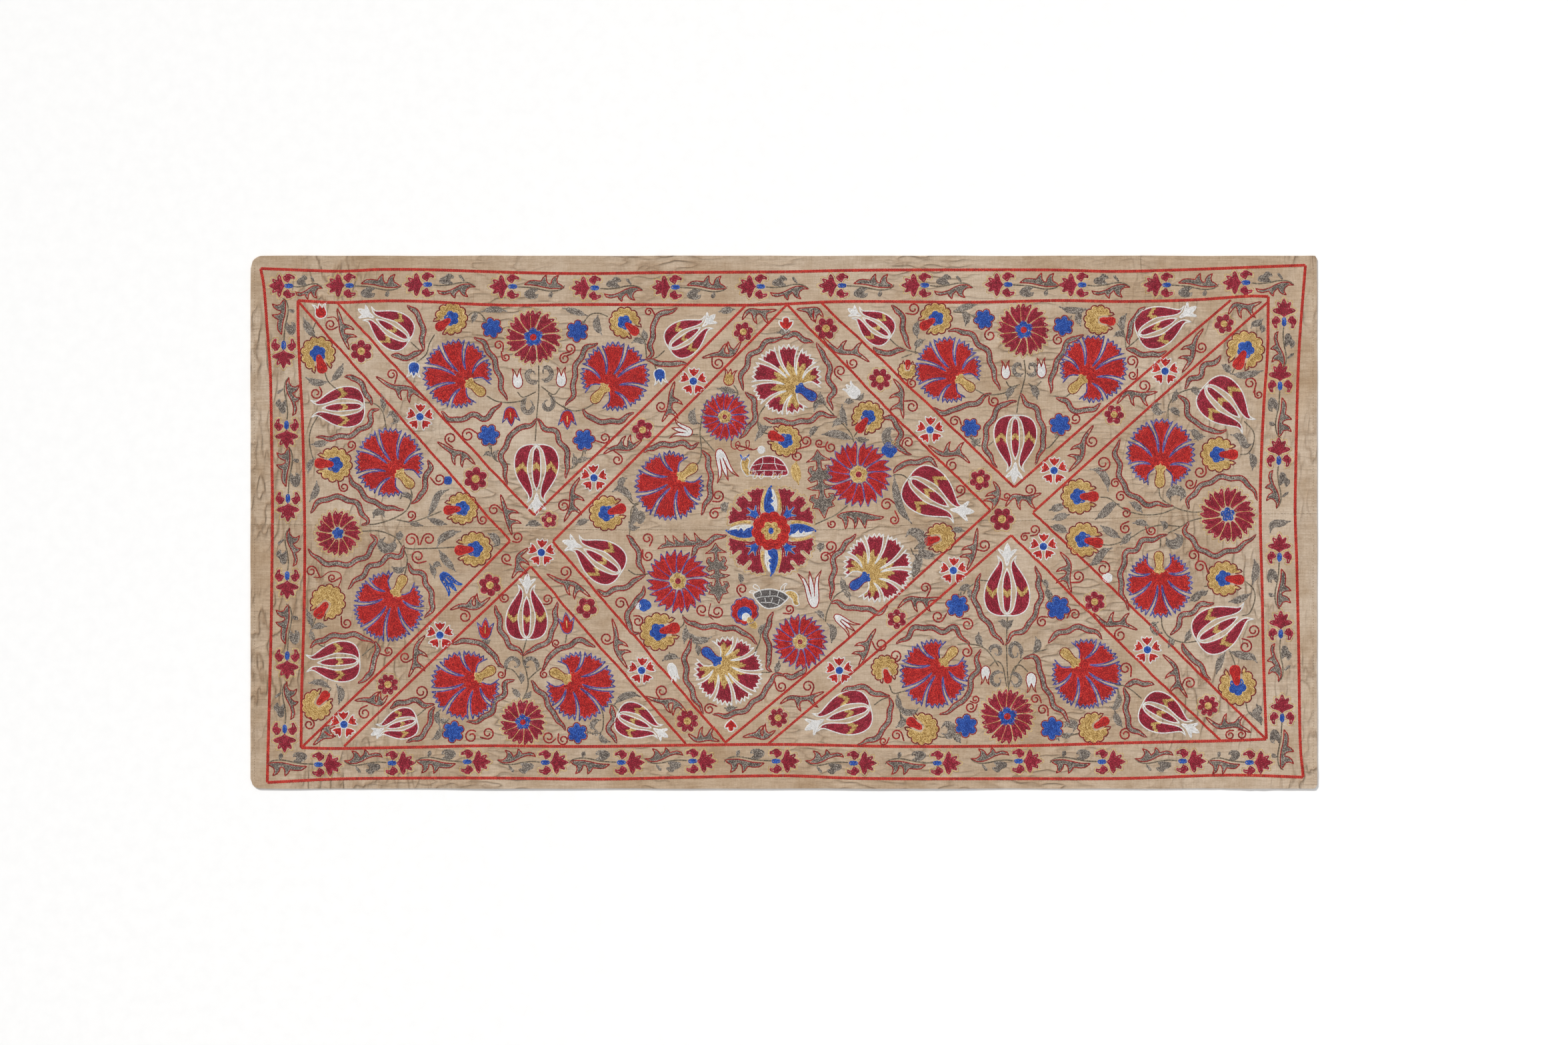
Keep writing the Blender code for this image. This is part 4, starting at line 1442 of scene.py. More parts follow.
# Curled leaves: half width, then points along the middle.
CURLS = (
    (3.6, (808, 570), (802, 573.5), (795, 572), (791, 566), (791, 560), (796, 556.5), (801, 558),
     (802.5, 562)),
    (3.4, (812.5, 569), (819, 571), (826, 566), (827, 559), (823, 552.5), (817.5, 551.5),
     (814.5, 556), (815, 560.5)),
    (3.5, (790, 596), (785.5, 602), (784.5, 610), (787, 617), (794, 619), (799, 613), (799, 606),
     (795.5, 600.5)),
    (3.2, (826, 592), (829.5, 600), (829.5, 608), (824.5, 614), (818, 613), (815.5, 607),
     (817.5, 602), (821.5, 600)),
    (2.8, (1486, 979), (1485.5, 973), (1490, 969.5), (1496, 969.5), (1500, 974.5), (1500, 980),
     (1496.5, 983.5), (1492, 980)),
    (2.9, (1530.5, 988), (1532, 980), (1530.5, 971.5), (1524, 965), (1518, 967), (1515, 974),
     (1516, 982), (1521, 986.5), (1526, 984.5), (1526.5, 979)),
    (2.6, (1505, 1010), (1499, 1008), (1492, 1010), (1487.5, 1016), (1488, 1023), (1493, 1028),
     (1498.5, 1027), (1501, 1021), (1498.5, 1017)),
    (2.9, (1515, 1013), (1520, 1010.5), (1526.5, 1013), (1530.5, 1019), (1529, 1026), (1524, 1029),
     (1519, 1026), (1517, 1021)),
    (3.0, (1535, 560), (1530, 563), (1523, 561), (1520.5, 554), (1523, 548), (1529, 546.5),
     (1532, 551), (1529.5, 555)),
    (3.0, (1540, 560), (1545, 563), (1552, 561), (1554.5, 554), (1552, 548), (1546, 546.5),
     (1543, 551), (1545.5, 555)),
    (3.0, (760, 1006), (759, 997), (764, 989), (772, 988), (778, 994), (776, 1001), (771, 1000)),
    (3.0, (805, 1006), (806, 997), (801, 989), (793, 988), (787, 994), (789, 1001), (794, 1000)),
)

# Spirals: centre, radius, the point that the line leaves for, and which way it coils.
SPIRALS = (
    (496, 487, 8, 507, 490, -1), (588, 562, 8, 592, 576, 1), (474, 590, 9, 479, 580, -1),
    (748, 518, 7, 754, 528, 1), (759, 536, 6, 752, 527, 1), (855, 523, 8, 850, 534, 1),
    (847, 538, 8, 856, 528, 1), (973, 468, 6, 983, 474, 1), (1077, 545, 9, 1068, 534, 1),
    (527, 668, 7, 520, 680, 1), (516, 731, 7, 507, 722, 1), (659, 719, 9, 645, 716, 1),
    (724, 780, 7, 716, 774, 1), (617, 773, 7, 613, 783, 1), (702, 653, 10, 718, 652, 1),
    (676, 658, 9, 680, 672, -1), (741, 765, 8, 756, 768, 1), (846, 759, 9, 858, 752, 1),
    (907, 657, 8, 893, 661, 1), (926, 690, 8, 920, 676, -1), (992, 610, 8, 1003, 616, -1),
    (1077, 744, 9, 1068, 752, 1), (1072, 771, 8, 1082, 762, 1), (1209, 662, 8, 1196, 674, 1),
    (1196, 684, 8, 1196, 671, 1), (1229, 665, 6, 1238, 670, -1), (1246, 671, 8, 1242, 662, 1),
    (1362, 664, 8, 1352, 672, -1), (1330, 757, 9, 1344, 757, 1), (1341, 780, 7, 1342, 766, -1),
    (1248, 786, 6.5, 1244, 779.5, 1), (1440, 735, 8, 1432, 748, 1), (1246, 820, 9, 1240, 832, 1),
    (1238, 836, 8, 1249, 840, 1), (1279, 545, 8, 1270, 540, 1), (1260, 557, 9, 1263, 571, -1),
    (1370, 463, 9, 1358, 470, 1), (1368, 575, 7, 1362, 568, 1), (1485, 503, 9, 1490, 494, 1),
    (1587, 510, 8, 1592, 502, 1), (1432, 632, 8, 1442, 638, 1), (1491, 602, 8, 1484, 594, 1),
    (1613, 628, 8, 1604, 630, 1), (1638, 662, 9, 1628, 654, 1), (1368, 610, 9, 1356, 602, -1),
    (1428, 698, 9, 1432, 688, 1), (1510, 745, 6, 1500, 748, 1), (1545, 735, 9, 1545, 746, 1),
    (1698, 542, 9, 1703, 552, 1), (1699, 563, 7, 1706, 553, -1), (1716, 579, 9, 1718, 590, 1),
    (1802, 521, 8, 1790, 524, 1), (1875, 575, 9, 1880, 590, 1), (1888, 592, 6, 1882, 584, 1),
    (1655, 695, 11, 1648, 706, 1), (1673, 725, 7, 1684, 722, 1), (1681, 745, 8, 1690, 744, 1),
    (1689, 770, 7, 1684, 762, -1), (1800, 708, 9, 1808, 698, -1), (1785, 726, 8, 1795, 720, -1),
    (1688, 793, 8, 1694, 782, 1), (1727, 796, 7, 1718, 790, 1), (1655, 853, 11, 1645, 846, -1),
    (1790, 833, 8, 1797, 844, 1), (1800, 850, 9, 1812, 860, 1), (1880, 946, 9, 1870, 956, 1),
    (1868, 970, 10, 1862, 958, -1), (776, 806, 8, 768, 812, 1), (760, 838, 8, 768, 848, -1),
    (757, 897, 7, 748, 892, 1), (697, 925, 9, 690, 914, -1), (608, 986, 8, 620, 988, -1),
    (547, 1070, 9, 552, 1058, 1), (464, 1087, 8, 461, 1076, -1), (520, 935, 8, 512, 924, 1),
    (467, 857, 8, 480, 866, 1), (498, 867, 6, 512, 866, -1), (617, 810, 10, 628, 818, 1),
    (643, 809, 9, 630, 818, -1), (627, 835, 10, 640, 842, -1), (582, 977, 7, 568, 980, 1),
    (632, 1038, 10, 624, 1050, 1), (848, 858, 9, 846, 872, 1), (821, 899, 8, 812, 906, 1),
    (910, 958, 9, 922, 962, -1), (834, 965, 6, 842, 972, -1), (816, 1012, 6, 818, 1004, 1),
    (752, 1012, 6, 758, 1004, -1), (931, 905, 9, 944, 914, 1), (957, 932, 8, 950, 924, -1),
    (971, 808, 8, 974, 820, 1), (972, 834, 8, 964, 824, 1), (993, 1037, 9, 990, 1049, -1),
    (1053, 915, 9, 1062, 920, -1), (1076, 918, 9, 1064, 922, 1), (1113, 884, 8, 1112, 896, -1),
    (1064, 1064, 8, 1076, 1060, 1), (1172, 1030, 8, 1162, 1022, 1), (1184, 914, 7, 1174, 920, 1),
    (1212, 1030, 9, 1215, 1044, 1), (1343, 984, 9, 1335, 994, 1), (1321, 967, 10, 1308, 962, 1),
    (1388, 882, 8, 1390, 896, 1), (1476, 818, 9, 1463, 824, 1), (1407, 925, 9, 1420, 920, -1),
    (1451, 937, 9, 1442, 928, -1), (1450, 978, 8, 1452, 966, -1), (1563, 933, 8, 1572, 926, 1),
    (1612, 922, 8, 1600, 928, -1), (1456, 1061, 8, 1466, 1056, -1), (1463, 1049, 6, 1455, 1052, 1),
    (1564, 1065, 8, 1572, 1075, 1), (1553, 1049, 7, 1562, 1055, 1), (1552, 795, 8, 1545, 804, 1),
    (1537, 806, 6, 1545, 800, 1), (1617, 865, 9, 1606, 874, 1), (1680, 953, 9, 1682, 942, 1),
    (1688, 1003, 9, 1696, 1016, 1), (1784, 1025, 9, 1772, 1030, -1), (1845, 1103, 7, 1851, 1096, 1),
    (1862, 1102, 7, 1856, 1095, -1), (1688, 1102, 9, 1696, 1094, 1), (707, 1105, 10, 718, 1102, 1),
    (732, 1100, 9, 720, 1106, 1), (823, 1106, 9, 834, 1108, -1), (845, 1110, 8, 838, 1100, 1),
    (1325, 1112, 6, 1334, 1106, -1), (1345, 1103, 8, 1356, 1112, 1), (1104, 668, 0.5, 1130, 675, 1),
)

# Grey stems: points along each.
STEMS = (
    ((487, 558), (493, 573), (512, 590)), ((475, 480), (468, 500), (472, 508)),
    ((616, 513), (632, 528)), ((652, 502), (644, 516), (639, 532), (622, 546)),
    ((702, 474), (711, 468), (721, 471), (731, 484)),
    ((912, 475), (898, 470), (884, 473), (873, 488)), ((958, 500), (967, 512), (970, 540)),
    ((970, 541), (980, 545), (985, 556)), ((997, 526), (985, 536), (972, 540)),
    ((808, 548), (808, 590), (805, 627), (803, 662)), ((776, 588), (785, 596), (804, 588)),
    ((840, 582), (830, 592), (812, 580)), ((730, 594), (745, 602), (766, 604), (790, 600)),
    ((822, 590), (836, 605), (858, 616), (876, 614), (893, 604)), ((845, 608), (850, 618)),
    ((1100, 577), (1107, 590), (1100, 600)),
    ((480, 620), (468, 640), (464, 660), (468, 683), (472, 690)),
    ((546, 604), (562, 606), (574, 618), (580, 645)),
    ((614, 727), (618, 745), (610, 765), (592, 777), (565, 786), (543, 787)),
    ((595, 780), (618, 783), (640, 776), (662, 767)),
    ((543, 797), (570, 797), (594, 807), (608, 822), (640, 823), (683, 821)),
    ((740, 820), (732, 820)), ((606, 824), (611, 840), (607, 862)),
    ((737, 670), (738, 682), (746, 692), (766, 697)),
    ((875, 676), (872, 686), (860, 702), (842, 702)),
    ((1060, 600), (1054, 622), (1050, 648), (1052, 672), (1050, 690), (1040, 703)),
    ((1050, 653), (1062, 666), (1072, 678)), ((1048, 652), (1038, 652)),
    ((1148, 608), (1138, 625), (1139, 645), (1155, 652)),
    ((1216, 596), (1232, 603), (1248, 620), (1262, 634), (1276, 650), (1281, 664)),
    ((1288, 645), (1281, 655)), ((1340, 712), (1354, 713), (1366, 722)),
    ((1222, 787), (1240, 779), (1254, 772), (1272, 758)),
    ((958, 756), (948, 762), (946, 775), (945, 792), (944, 803)),
    ((960, 752), (950, 756), (938, 742)), ((942, 855), (954, 862), (974, 861)),
    ((1024, 922), (1026, 935), (1020, 942)), ((1004, 978), (1004, 990)),
    ((1142, 940), (1140, 960), (1134, 975), (1130, 985)), ((1093, 1055), (1095, 1062)),
    ((1142, 1009), (1156, 1009)), ((1247, 903), (1240, 920), (1238, 933)),
    ((1247, 903), (1254, 893), (1264, 887)), ((1371, 824), (1380, 815), (1393, 813)),
    ((1366, 822), (1370, 832)), ((1334, 508), (1348, 520), (1366, 527), (1385, 531)),
    ((1373, 525), (1374, 531)), ((1352, 537), (1368, 531)), ((1430, 468), (1450, 470), (1462, 476)),
    ((1536, 540), (1538, 560), (1534, 580), (1528, 600), (1525, 620)),
    ((1509, 572), (1515, 580), (1530, 577)), ((1562, 572), (1553, 580), (1542, 575)),
    ((1460, 583), (1480, 592), (1505, 590), (1526, 580)),
    ((1456, 655), (1466, 668), (1482, 668), (1490, 662)), ((1560, 668), (1572, 672), (1590, 652)),
    ((1606, 590), (1596, 596), (1580, 594)), ((1675, 485), (1686, 500), (1689, 522)),
    ((1709, 506), (1698, 516), (1690, 522)), ((1854, 548), (1848, 560)),
    ((1803, 583), (1785, 584), (1765, 592), (1753, 608), (1752, 630)),
    ((1866, 632), (1880, 648), (1880, 666), (1872, 680), (1860, 682)),
    ((1738, 732), (1742, 748), (1764, 762), (1786, 768), (1803, 768)),
    ((1650, 746), (1664, 748), (1686, 764), (1712, 772), (1740, 771), (1764, 762)),
    ((1803, 777), (1785, 782), (1768, 792), (1752, 800)),
    ((1770, 790), (1740, 788), (1715, 795), (1697, 806), (1670, 817), (1648, 817)),
    ((1741, 805), (1740, 822)), ((1742, 926), (1744, 942), (1755, 957), (1775, 964), (1795, 962)),
    ((1868, 872), (1880, 884), (1882, 900), (1874, 920), (1862, 924)), ((1806, 880), (1815, 879)),
    ((1845, 978), (1850, 990), (1853, 1000)), ((1868, 1052), (1872, 1068), (1880, 1074)),
    ((543, 984), (556, 973), (566, 965), (569, 955)), ((474, 962), (480, 968), (492, 972)),
    ((484, 918), (475, 925), (468, 942)), ((497, 1033), (491, 1042)),
    ((790, 958), (784, 985), (790, 1010), (792, 1030), (784, 1050)),
    ((812, 1002), (800, 1012), (792, 1020)), ((758, 1002), (770, 1006), (782, 1022)),
    ((746, 1000), (758, 1000)), ((626, 1074), (640, 1062)), ((662, 1062), (668, 1058)),
    ((664, 1092), (672, 1095)), ((850, 952), (848, 965)),
    ((900, 1058), (905, 1075), (902, 1098), (884, 1100)), ((905, 1058), (920, 1058), (932, 1072)),
    ((1511, 925), (1510, 950), (1510, 985), (1513, 1040)),
    ((1484, 1000), (1494, 992), (1504, 1000), (1510, 1030)),
    ((1542, 1008), (1530, 998), (1520, 1004), (1513, 1030)),
    ((1436, 967), (1450, 966), (1472, 970), (1486, 982), (1498, 1000)),
    ((1570, 974), (1550, 980), (1532, 990), (1520, 1008)), ((1466, 870), (1484, 872)),
    ((1445, 892), (1450, 884), (1466, 872)), ((1552, 873), (1570, 872)), ((1583, 900), (1576, 905)),
    ((1311, 1058), (1322, 1050), (1334, 1046)),
    ((1334, 1028), (1340, 1040), (1356, 1037), (1370, 1033)),
    ((1347, 1040), (1350, 1060), (1352, 1080), (1362, 1082)),
    ((1404, 1104), (1416, 1106), (1436, 1102), (1442, 1096)),
    ((1590, 1100), (1602, 1104), (1618, 1100)), ((1676, 1032), (1679, 1048), (1674, 1064)),
    ((1684, 1028), (1698, 1036), (1712, 1048)), ((1662, 1020), (1676, 1028), (1686, 1028)),
)

# Red runs of stitching that are neither spirals nor edges.
RED_RUNS = (
    ((1097, 660), (1097, 670), (1103, 674), (1110, 668), (1107, 662), (1103, 668), (1110, 676),
     (1122, 672), (1124, 662), (1119, 662), (1121, 673), (1130, 675), (1137, 672)),
    ((470, 866), (482, 866), (494, 858), (508, 859), (512, 868), (507, 882)),
    ((1066, 905), (1063, 922), (1070, 930)), ((490, 477), (502, 476), (508, 484)),
)

# Half of a tree, in pixels: along its trunk, then across.
TREE = (
    (0, 0.3), (7, 4.5), (12, 11), (15, 16.5), (14.5, 3.2), (24, 2.8), (28, 5.5), (26, 9.5),
    (21.5, 7.5), (22, 13.5), (28, 15.5), (34, 11.5), (38, 17), (43, 13), (41, 4.4), (46, 4.6),
    (48.5, 10), (50, 19.5), (53.5, 11), (54, 3.8), (59, 3.4), (65.5, 6), (64, 10.5), (59.5, 8.5),
    (60.5, 15.5), (67, 17.5), (71, 12), (77, 15), (79, 6.5), (84, 4), (88, 2.2), (92, 0.3),
)


def tree(x, y, turn_deg, size):
    """Tiers of grey lobes edged in red."""
    side = np.asarray(TREE, float)
    shape = np.vstack((side, (side * (1.0, -1.0))[::-1]))
    edged("brick", "grey", place(shape, x, y, turn_deg, size), width=1.6)


SAW_LEAF = (
    (986, 824), (993, 817), (999, 815), (997, 803), (1004, 812), (1012, 816), (1009, 803),
    (1018, 812), (1026, 814), (1026, 800), (1035, 811), (1044, 812), (1041, 799), (1050, 809),
    (1060, 813), (1048, 819), (1020, 820), (1000, 821),
)
HOOKED_LEAF = (
    (1255.5, 774), (1262, 770), (1272, 767.8), (1282, 767), (1292, 768.5), (1304, 771.5),
    (1314, 774), (1326, 775.5), (1321, 779), (1310, 780.5), (1300.5, 780.5), (1297.8, 793),
    (1294, 786), (1290.5, 780), (1286, 776), (1287, 781), (1285, 787.5), (1281.5, 793.5),
    (1281.8, 786), (1279, 779.5), (1270.5, 774.8), (1272.3, 781), (1271, 788), (1268, 794),
    (1266.2, 785), (1263, 778.5), (1258, 776.5),
)


MEDALLION_X = 1156.5
MEDALLION_Y = 796.5
# One toothed lobe and one pointed leaf of it, from its centre outwards, in pixels.
LOBE_SIDE = (
    (24.0, 0.0), (26.5, 7.0), (32.5, 9.2), (40.3, 18.4), (48.8, 31.1), (52.3, 38.5), (55.5, 32.0),
    (61.0, 31.5), (59.5, 26.0), (65.0, 24.5), (62.0, 20.0), (69.5, 15.0), (62.0, 14.6),
    (55.0, 14.2), (52.0, 10.6), (54.5, 7.6), (61.5, 8.0), (68.5, 8.0), (66.5, 4.0), (72.0, 2.2),
    (68.5, 0.0),
)


POINTED_SIDE = (
    (26.0, 0.0), (27.0, 7.0), (30.0, 9.5), (40.0, 10.6), (50.0, 9.4), (60.0, 5.8), (70.0, 0.0),
)
WHITE_PART = (
    (28.0, 8.0), (31.0, 5.0), (36.0, 4.0), (41.5, -1.5), (42.5, 3.0), (45.5, 4.5), (49.5, -0.5),
    (51.0, 3.0), (56.0, 2.0), (66.0, -0.5), (60.0, 4.4), (50.0, 7.9), (40.0, 9.1), (31.0, 8.6),
)
TOES = (((30, 0), (38, -4), (43, -10)), ((30, 0), (41, 0), (50, -1)), ((30, 0), (37, 4), (43, 11)))
RED_RING = (29.5, 10, 0.12)
OCHRE_FLOWER = (15.0, 6)


def medallion():
    """Four pointed leaves and four toothed lobes round a flower, at the cloth's centre."""
    x, y = MEDALLION_X, MEDALLION_Y
    disc = lobed(x, y, *RED_RING, 12.0)
    flower = lobed(x, y, *OCHRE_FLOWER, 0.30, 30.0)
    eye = ring(x, y, 3.8, 5.0)
    fill("scarlet", disc, holes=(flower,))
    fill("ochre", flower, first=LEAF_INSET, holes=(eye,))
    fill("blue", eye, first=SMALL_INSET)
    leaf_shapes = {}
    for turn in (0, 90, 180, 270):
        leaf_shapes[turn] = place(mirrored(POINTED_SIDE), x, y, turn)
        pale = place(WHITE_PART, x, y, turn)
        fill("blue", leaf_shapes[turn], first=LEAF_INSET, holes=(disc, pale))
        fill("white", pale, first=SMALL_INSET)
        for mirror in (1, -1):
            for spread in (1.20, 1.40):
                band = np.asarray(POINTED_SIDE)[2:6] * (1.0, spread)
                sew("ochre", smooth(place(band, x, y, turn, 1.0, mirror)), width=FILL_WIDTH)
    for turn in (45, 135, 225, 315):
        lobe = place(mirrored(LOBE_SIDE), x, y, turn)
        sides = [leaf_shapes[(turn + step) % 360] for step in (45, -45)]
        toes = []
        for points in TOES:
            line, _, across = spine(place(points, x, y, turn))
            half = 3.4 * (1.0 - 0.55 * np.linspace(0.0, 1.0, len(line)))
            rows_along("blue", line, across, half, 1.0)
            edge = across * half[:, None]
            toes.append(np.vstack((line + edge, (line - edge)[::-1])))
        fill("crimson", lobe, first=1.2, holes=(disc, *sides, *toes))
        halo(lobe, HALO_GAP, lambda points: np.hypot(*(points - (x, y)).T) > 53.0)


RED_SHELL = ((-26, 10), (-20, -5), (-8, -13), (8, -13), (20, -5), (26, 10), (10, 13), (-12, 13))
SHELL_SIZE = 1.12
RED_FEET = (((-17, 14), 60.0), ((-8, 14), 60.0), ((10, 14), 60.0), ((20, 14), 60.0))
RED_NECK = (
    (22, 3), (28, 6), (31, 1), (28, -9), (32, -15), (39, -13), (42, -5), (40, 5), (33, 15),
    (24, 12),
)
RED_SCUTES = (
    ((-22, -1), (-8, -4), (8, -4), (22, -1)), ((-8, -12), (-8, -4), (-12, 5)),
    ((8, -12), (8, -4), (12, 5)), ((-18, 5), (-18, 12)), ((-6, 5), (-6, 13)), ((6, 5), (6, 13)),
    ((18, 5), (18, 12)), ((-24, 6), (0, 5), (24, 6)),
)
GREY_SHELL = (
    (1130, 892), (1137, 887), (1144, 885), (1157, 884), (1170, 887), (1178, 891), (1183, 896),
    (1176, 904), (1168, 910), (1155, 913), (1146, 911), (1137, 903),
)
GREY_LIMBS = (
    ((1139, 885), (1135, 884), (1130, 881), (1131, 877.5), (1135, 878), (1139, 882)),
    ((1171, 887), (1172, 881), (1177, 876), (1181, 876), (1177, 880), (1176, 886)),
    ((1131, 890), (1124, 889), (1127, 886.5), (1133, 888)),
)
GREY_HEAD = (
    (1177, 889), (1184, 886), (1192, 888), (1197, 894), (1197, 901), (1199, 907), (1194, 909),
    (1190, 906), (1188, 899), (1184, 896),
)
GREY_SCUTES = (
    ((1133, 898), (1141, 896), (1155, 894.5), (1166, 895), (1179, 902)),
    ((1140, 904), (1150, 904), (1160, 905), (1170, 909)), ((1140, 886), (1142, 891), (1141, 896)),
    ((1155, 885), (1155, 895)), ((1168, 887), (1166, 895)), ((1147, 896), (1149, 904)),
    ((1159, 896), (1157, 904)), ((1170, 898), (1167, 907)),
)


def red_turtle(x, y):
    """A turtle seen from its side: a shell of scutes, feet and a raised head."""

    def local(points):
        return place(points, x, y, 180.0, 1.0, -1)

    for (u, v), turn in RED_FEET:
        edged("white", "ochre", local(ring(u, v, 5.0, 2.8, turn, 10)), width=1.4)
    edged("white", "ochre", local(RED_NECK), width=1.4)
    edged("white", "crimson", smooth(local(np.asarray(RED_SHELL) * SHELL_SIZE), closed=True), width=1.8)
    for line in RED_SCUTES:
        sew("white", local(np.asarray(line) * SHELL_SIZE), width=1.5, height=SCUTE_HEIGHT)


def grey_turtle():
    """A turtle seen from above, its head to the right."""
    for limb in GREY_LIMBS:
        sew("white", smooth(limb, closed=True), closed=True, width=1.4)
    edged("white", "ochre", smooth(GREY_HEAD, closed=True), width=1.4)
    edged("white", "slate", smooth(GREY_SHELL, closed=True), width=1.8)
    for line in GREY_SCUTES:
        sew("white", smooth(line), width=1.5, height=SCUTE_HEIGHT)


# A red bud of three lobes, from its point to its round end.
SPADE_SIDE = (
    (-10, 0), (-4, 6.5), (1, 9.5), (4, 9), (3.8, 6), (2.5, 4.2), (5, 4.8), (8, 3.4), (9, 0),
)


def small_things():
    """The single motifs that share no table."""
    fill("blue", lobed(672, 721, 7, 4, 0.15))
    fill("white", lobed(1661, 867, 8, 6, 0.15))
    fill("white", ring(1142, 675, 6.0))
    spade = mirrored(SPADE_SIDE)
    edged("white", "scarlet", place(spade, 1179, 486, -90.0, 1.15), width=1.6)
    edged("white", "scarlet", place(spade, 1096.5, 1089, 90.0), width=1.6)
    calyx = ring(1128, 935, 10.5, 5.5, 50.0)
    pale = ring(1119, 926, 6.5)
    blue = ring(1117, 921, 11)
    edged("violet", "scarlet", lobed(1117, 917, 21, 10, 0.12), width=1.6, holes=(blue, calyx))
    fill("blue", blue, holes=(pale, calyx))
    fill("white", pale, holes=(calyx,))
    fill("ochre", calyx)
    fill("blue", lobed(1334, 675, 12, 4, 0.18, 40))
    fill("ochre", lobed(1341, 665, 5, 3, 0.2))
    fill("blue", lobed(967, 908, 10, 3, 0.2, -60))
    fill("white", ring(957, 909, 5))
    leaf(((1195, 690), (1193, 702), (1195, 714), (1198, 728)), 7.0, "ochre")
    leaf(((1110, 682), (1116, 689), (1124, 682)), 2.6, "blue")
    edged("brick", "grey", SAW_LEAF, width=1.5)
    edged("brick", "grey", HOOKED_LEAF, width=1.8)
    tree(1226, 675, 84, 1.12)
    tree(1073, 815, 86.5, 0.98)


# Half the gap between a double line's rows, and the width of each row. The lattice's lines also
# wander, by this much, evened out over this many points.
FRAME_OFFSET = 1.0
FRAME_WIDTH = 2.4
LATTICE_OFFSET = 0.85
LATTICE_WIDTH = 2.0
LATTICE_WANDER = 0.8
WANDER_WINDOW = 9


def frame_lines():
    """The double red lines of the border and of the lattice."""
    for points in FRAME_LINES:
        line = smooth(points, step=3.0)
        for offset in (-FRAME_OFFSET, FRAME_OFFSET):
            double_row(line, offset, FRAME_WIDTH)
    for points in LATTICE_LINES:
        line = smooth(points, step=3.0)
        wander = RANDOM.normal(0.0, LATTICE_WANDER, len(line))
        wander = np.convolve(wander, np.ones(WANDER_WINDOW) / WANDER_WINDOW, "same")
        line = line + np.column_stack((wander, -wander))
        for offset in (-LATTICE_OFFSET, LATTICE_OFFSET):
            double_row(line, offset, LATTICE_WIDTH)


def double_row(line, offset, width):
    """A row beside a long line, sewn in lengths so that each lies in one part of the cloth."""
    heading = np.gradient(line, axis=0)
    heading /= np.hypot(*heading.T)[:, None]
    beside = line + np.column_stack((-heading[:, 1], heading[:, 0])) * offset
    beside = resample(beside, False, STITCH_HALF)
    regions = [region_of(beside[k : k + 1]) for k in range(len(beside))]
    start = 0
    for k in range(1, len(beside) + 1):
        if k == len(beside) or regions[k] != regions[start]:
            run = beside[start : min(k + 1, len(beside))]
            if len(run) > 1:
                gather("frame_red", regions[start], run, False, width, FRAME_HEIGHT)
            start = k


STEM_WIDTH = 1.9
RUN_WIDTH = 1.6
LEAF_BREADTH = 1.12
RED_TURTLE = (1153, 700)


def embroider():
    """Every motif, each by its table."""
    frame_lines()
    for points in STEMS:
        sew("stem", smooth(points), width=STEM_WIDTH)
    for points in RED_RUNS:
        sew("brick", smooth(points), width=RUN_WIDTH)
    for half_width, *points in LEAVES:
        leaf(points, half_width * LEAF_BREADTH)
    for half_width, *points in CURLS:
        curl(points, half_width)
    for points in RIBBONS:
        ribbon(points)
    for side, *points in THORN_LEAVES:
        thorn_leaf(points, side)
    for row in SPIRALS:
        spiral(*row)
    for table, turn_deg in (
        (TOP_SPRIGS, 180),
        (LEFT_SPRIGS, 90),
        (BOTTOM_SPRIGS, 0),
        (RIGHT_SPRIGS, 270),
    ):
        for x, y, side, *length in table:
            border_sprig(x, y, turn_deg, side, *length)
    for row in CARNATIONS:
        carnation(*row)
    for row in ROSETTES:
        rosette(*row)
    for x, y, turn_deg, length, finial_x, finial_y in TULIPS:
        finial = (finial_x, finial_y) if finial_x else None
        tulip(x, y, turn_deg, TULIP_LENGTH_SHARE * length, finial)
    for row in PALMETTES:
        palmette(*row)
    for row in BLUE_FLOWERS:
        blue_flower(*row)
    for row in CUPS:
        cup(*row)
    for x, y, reach, petals in BAND_FLOWERS:
        small_flower(x, y, reach, petals, "crimson", "ochre", "ochre", RANDOM.uniform(0.0, 60.0))
    for x, y in HEART_FLOWERS:
        hearts(x, y)
    red_turtle(*RED_TURTLE)
    grey_turtle()
    medallion()
    small_things()


# Meshes.


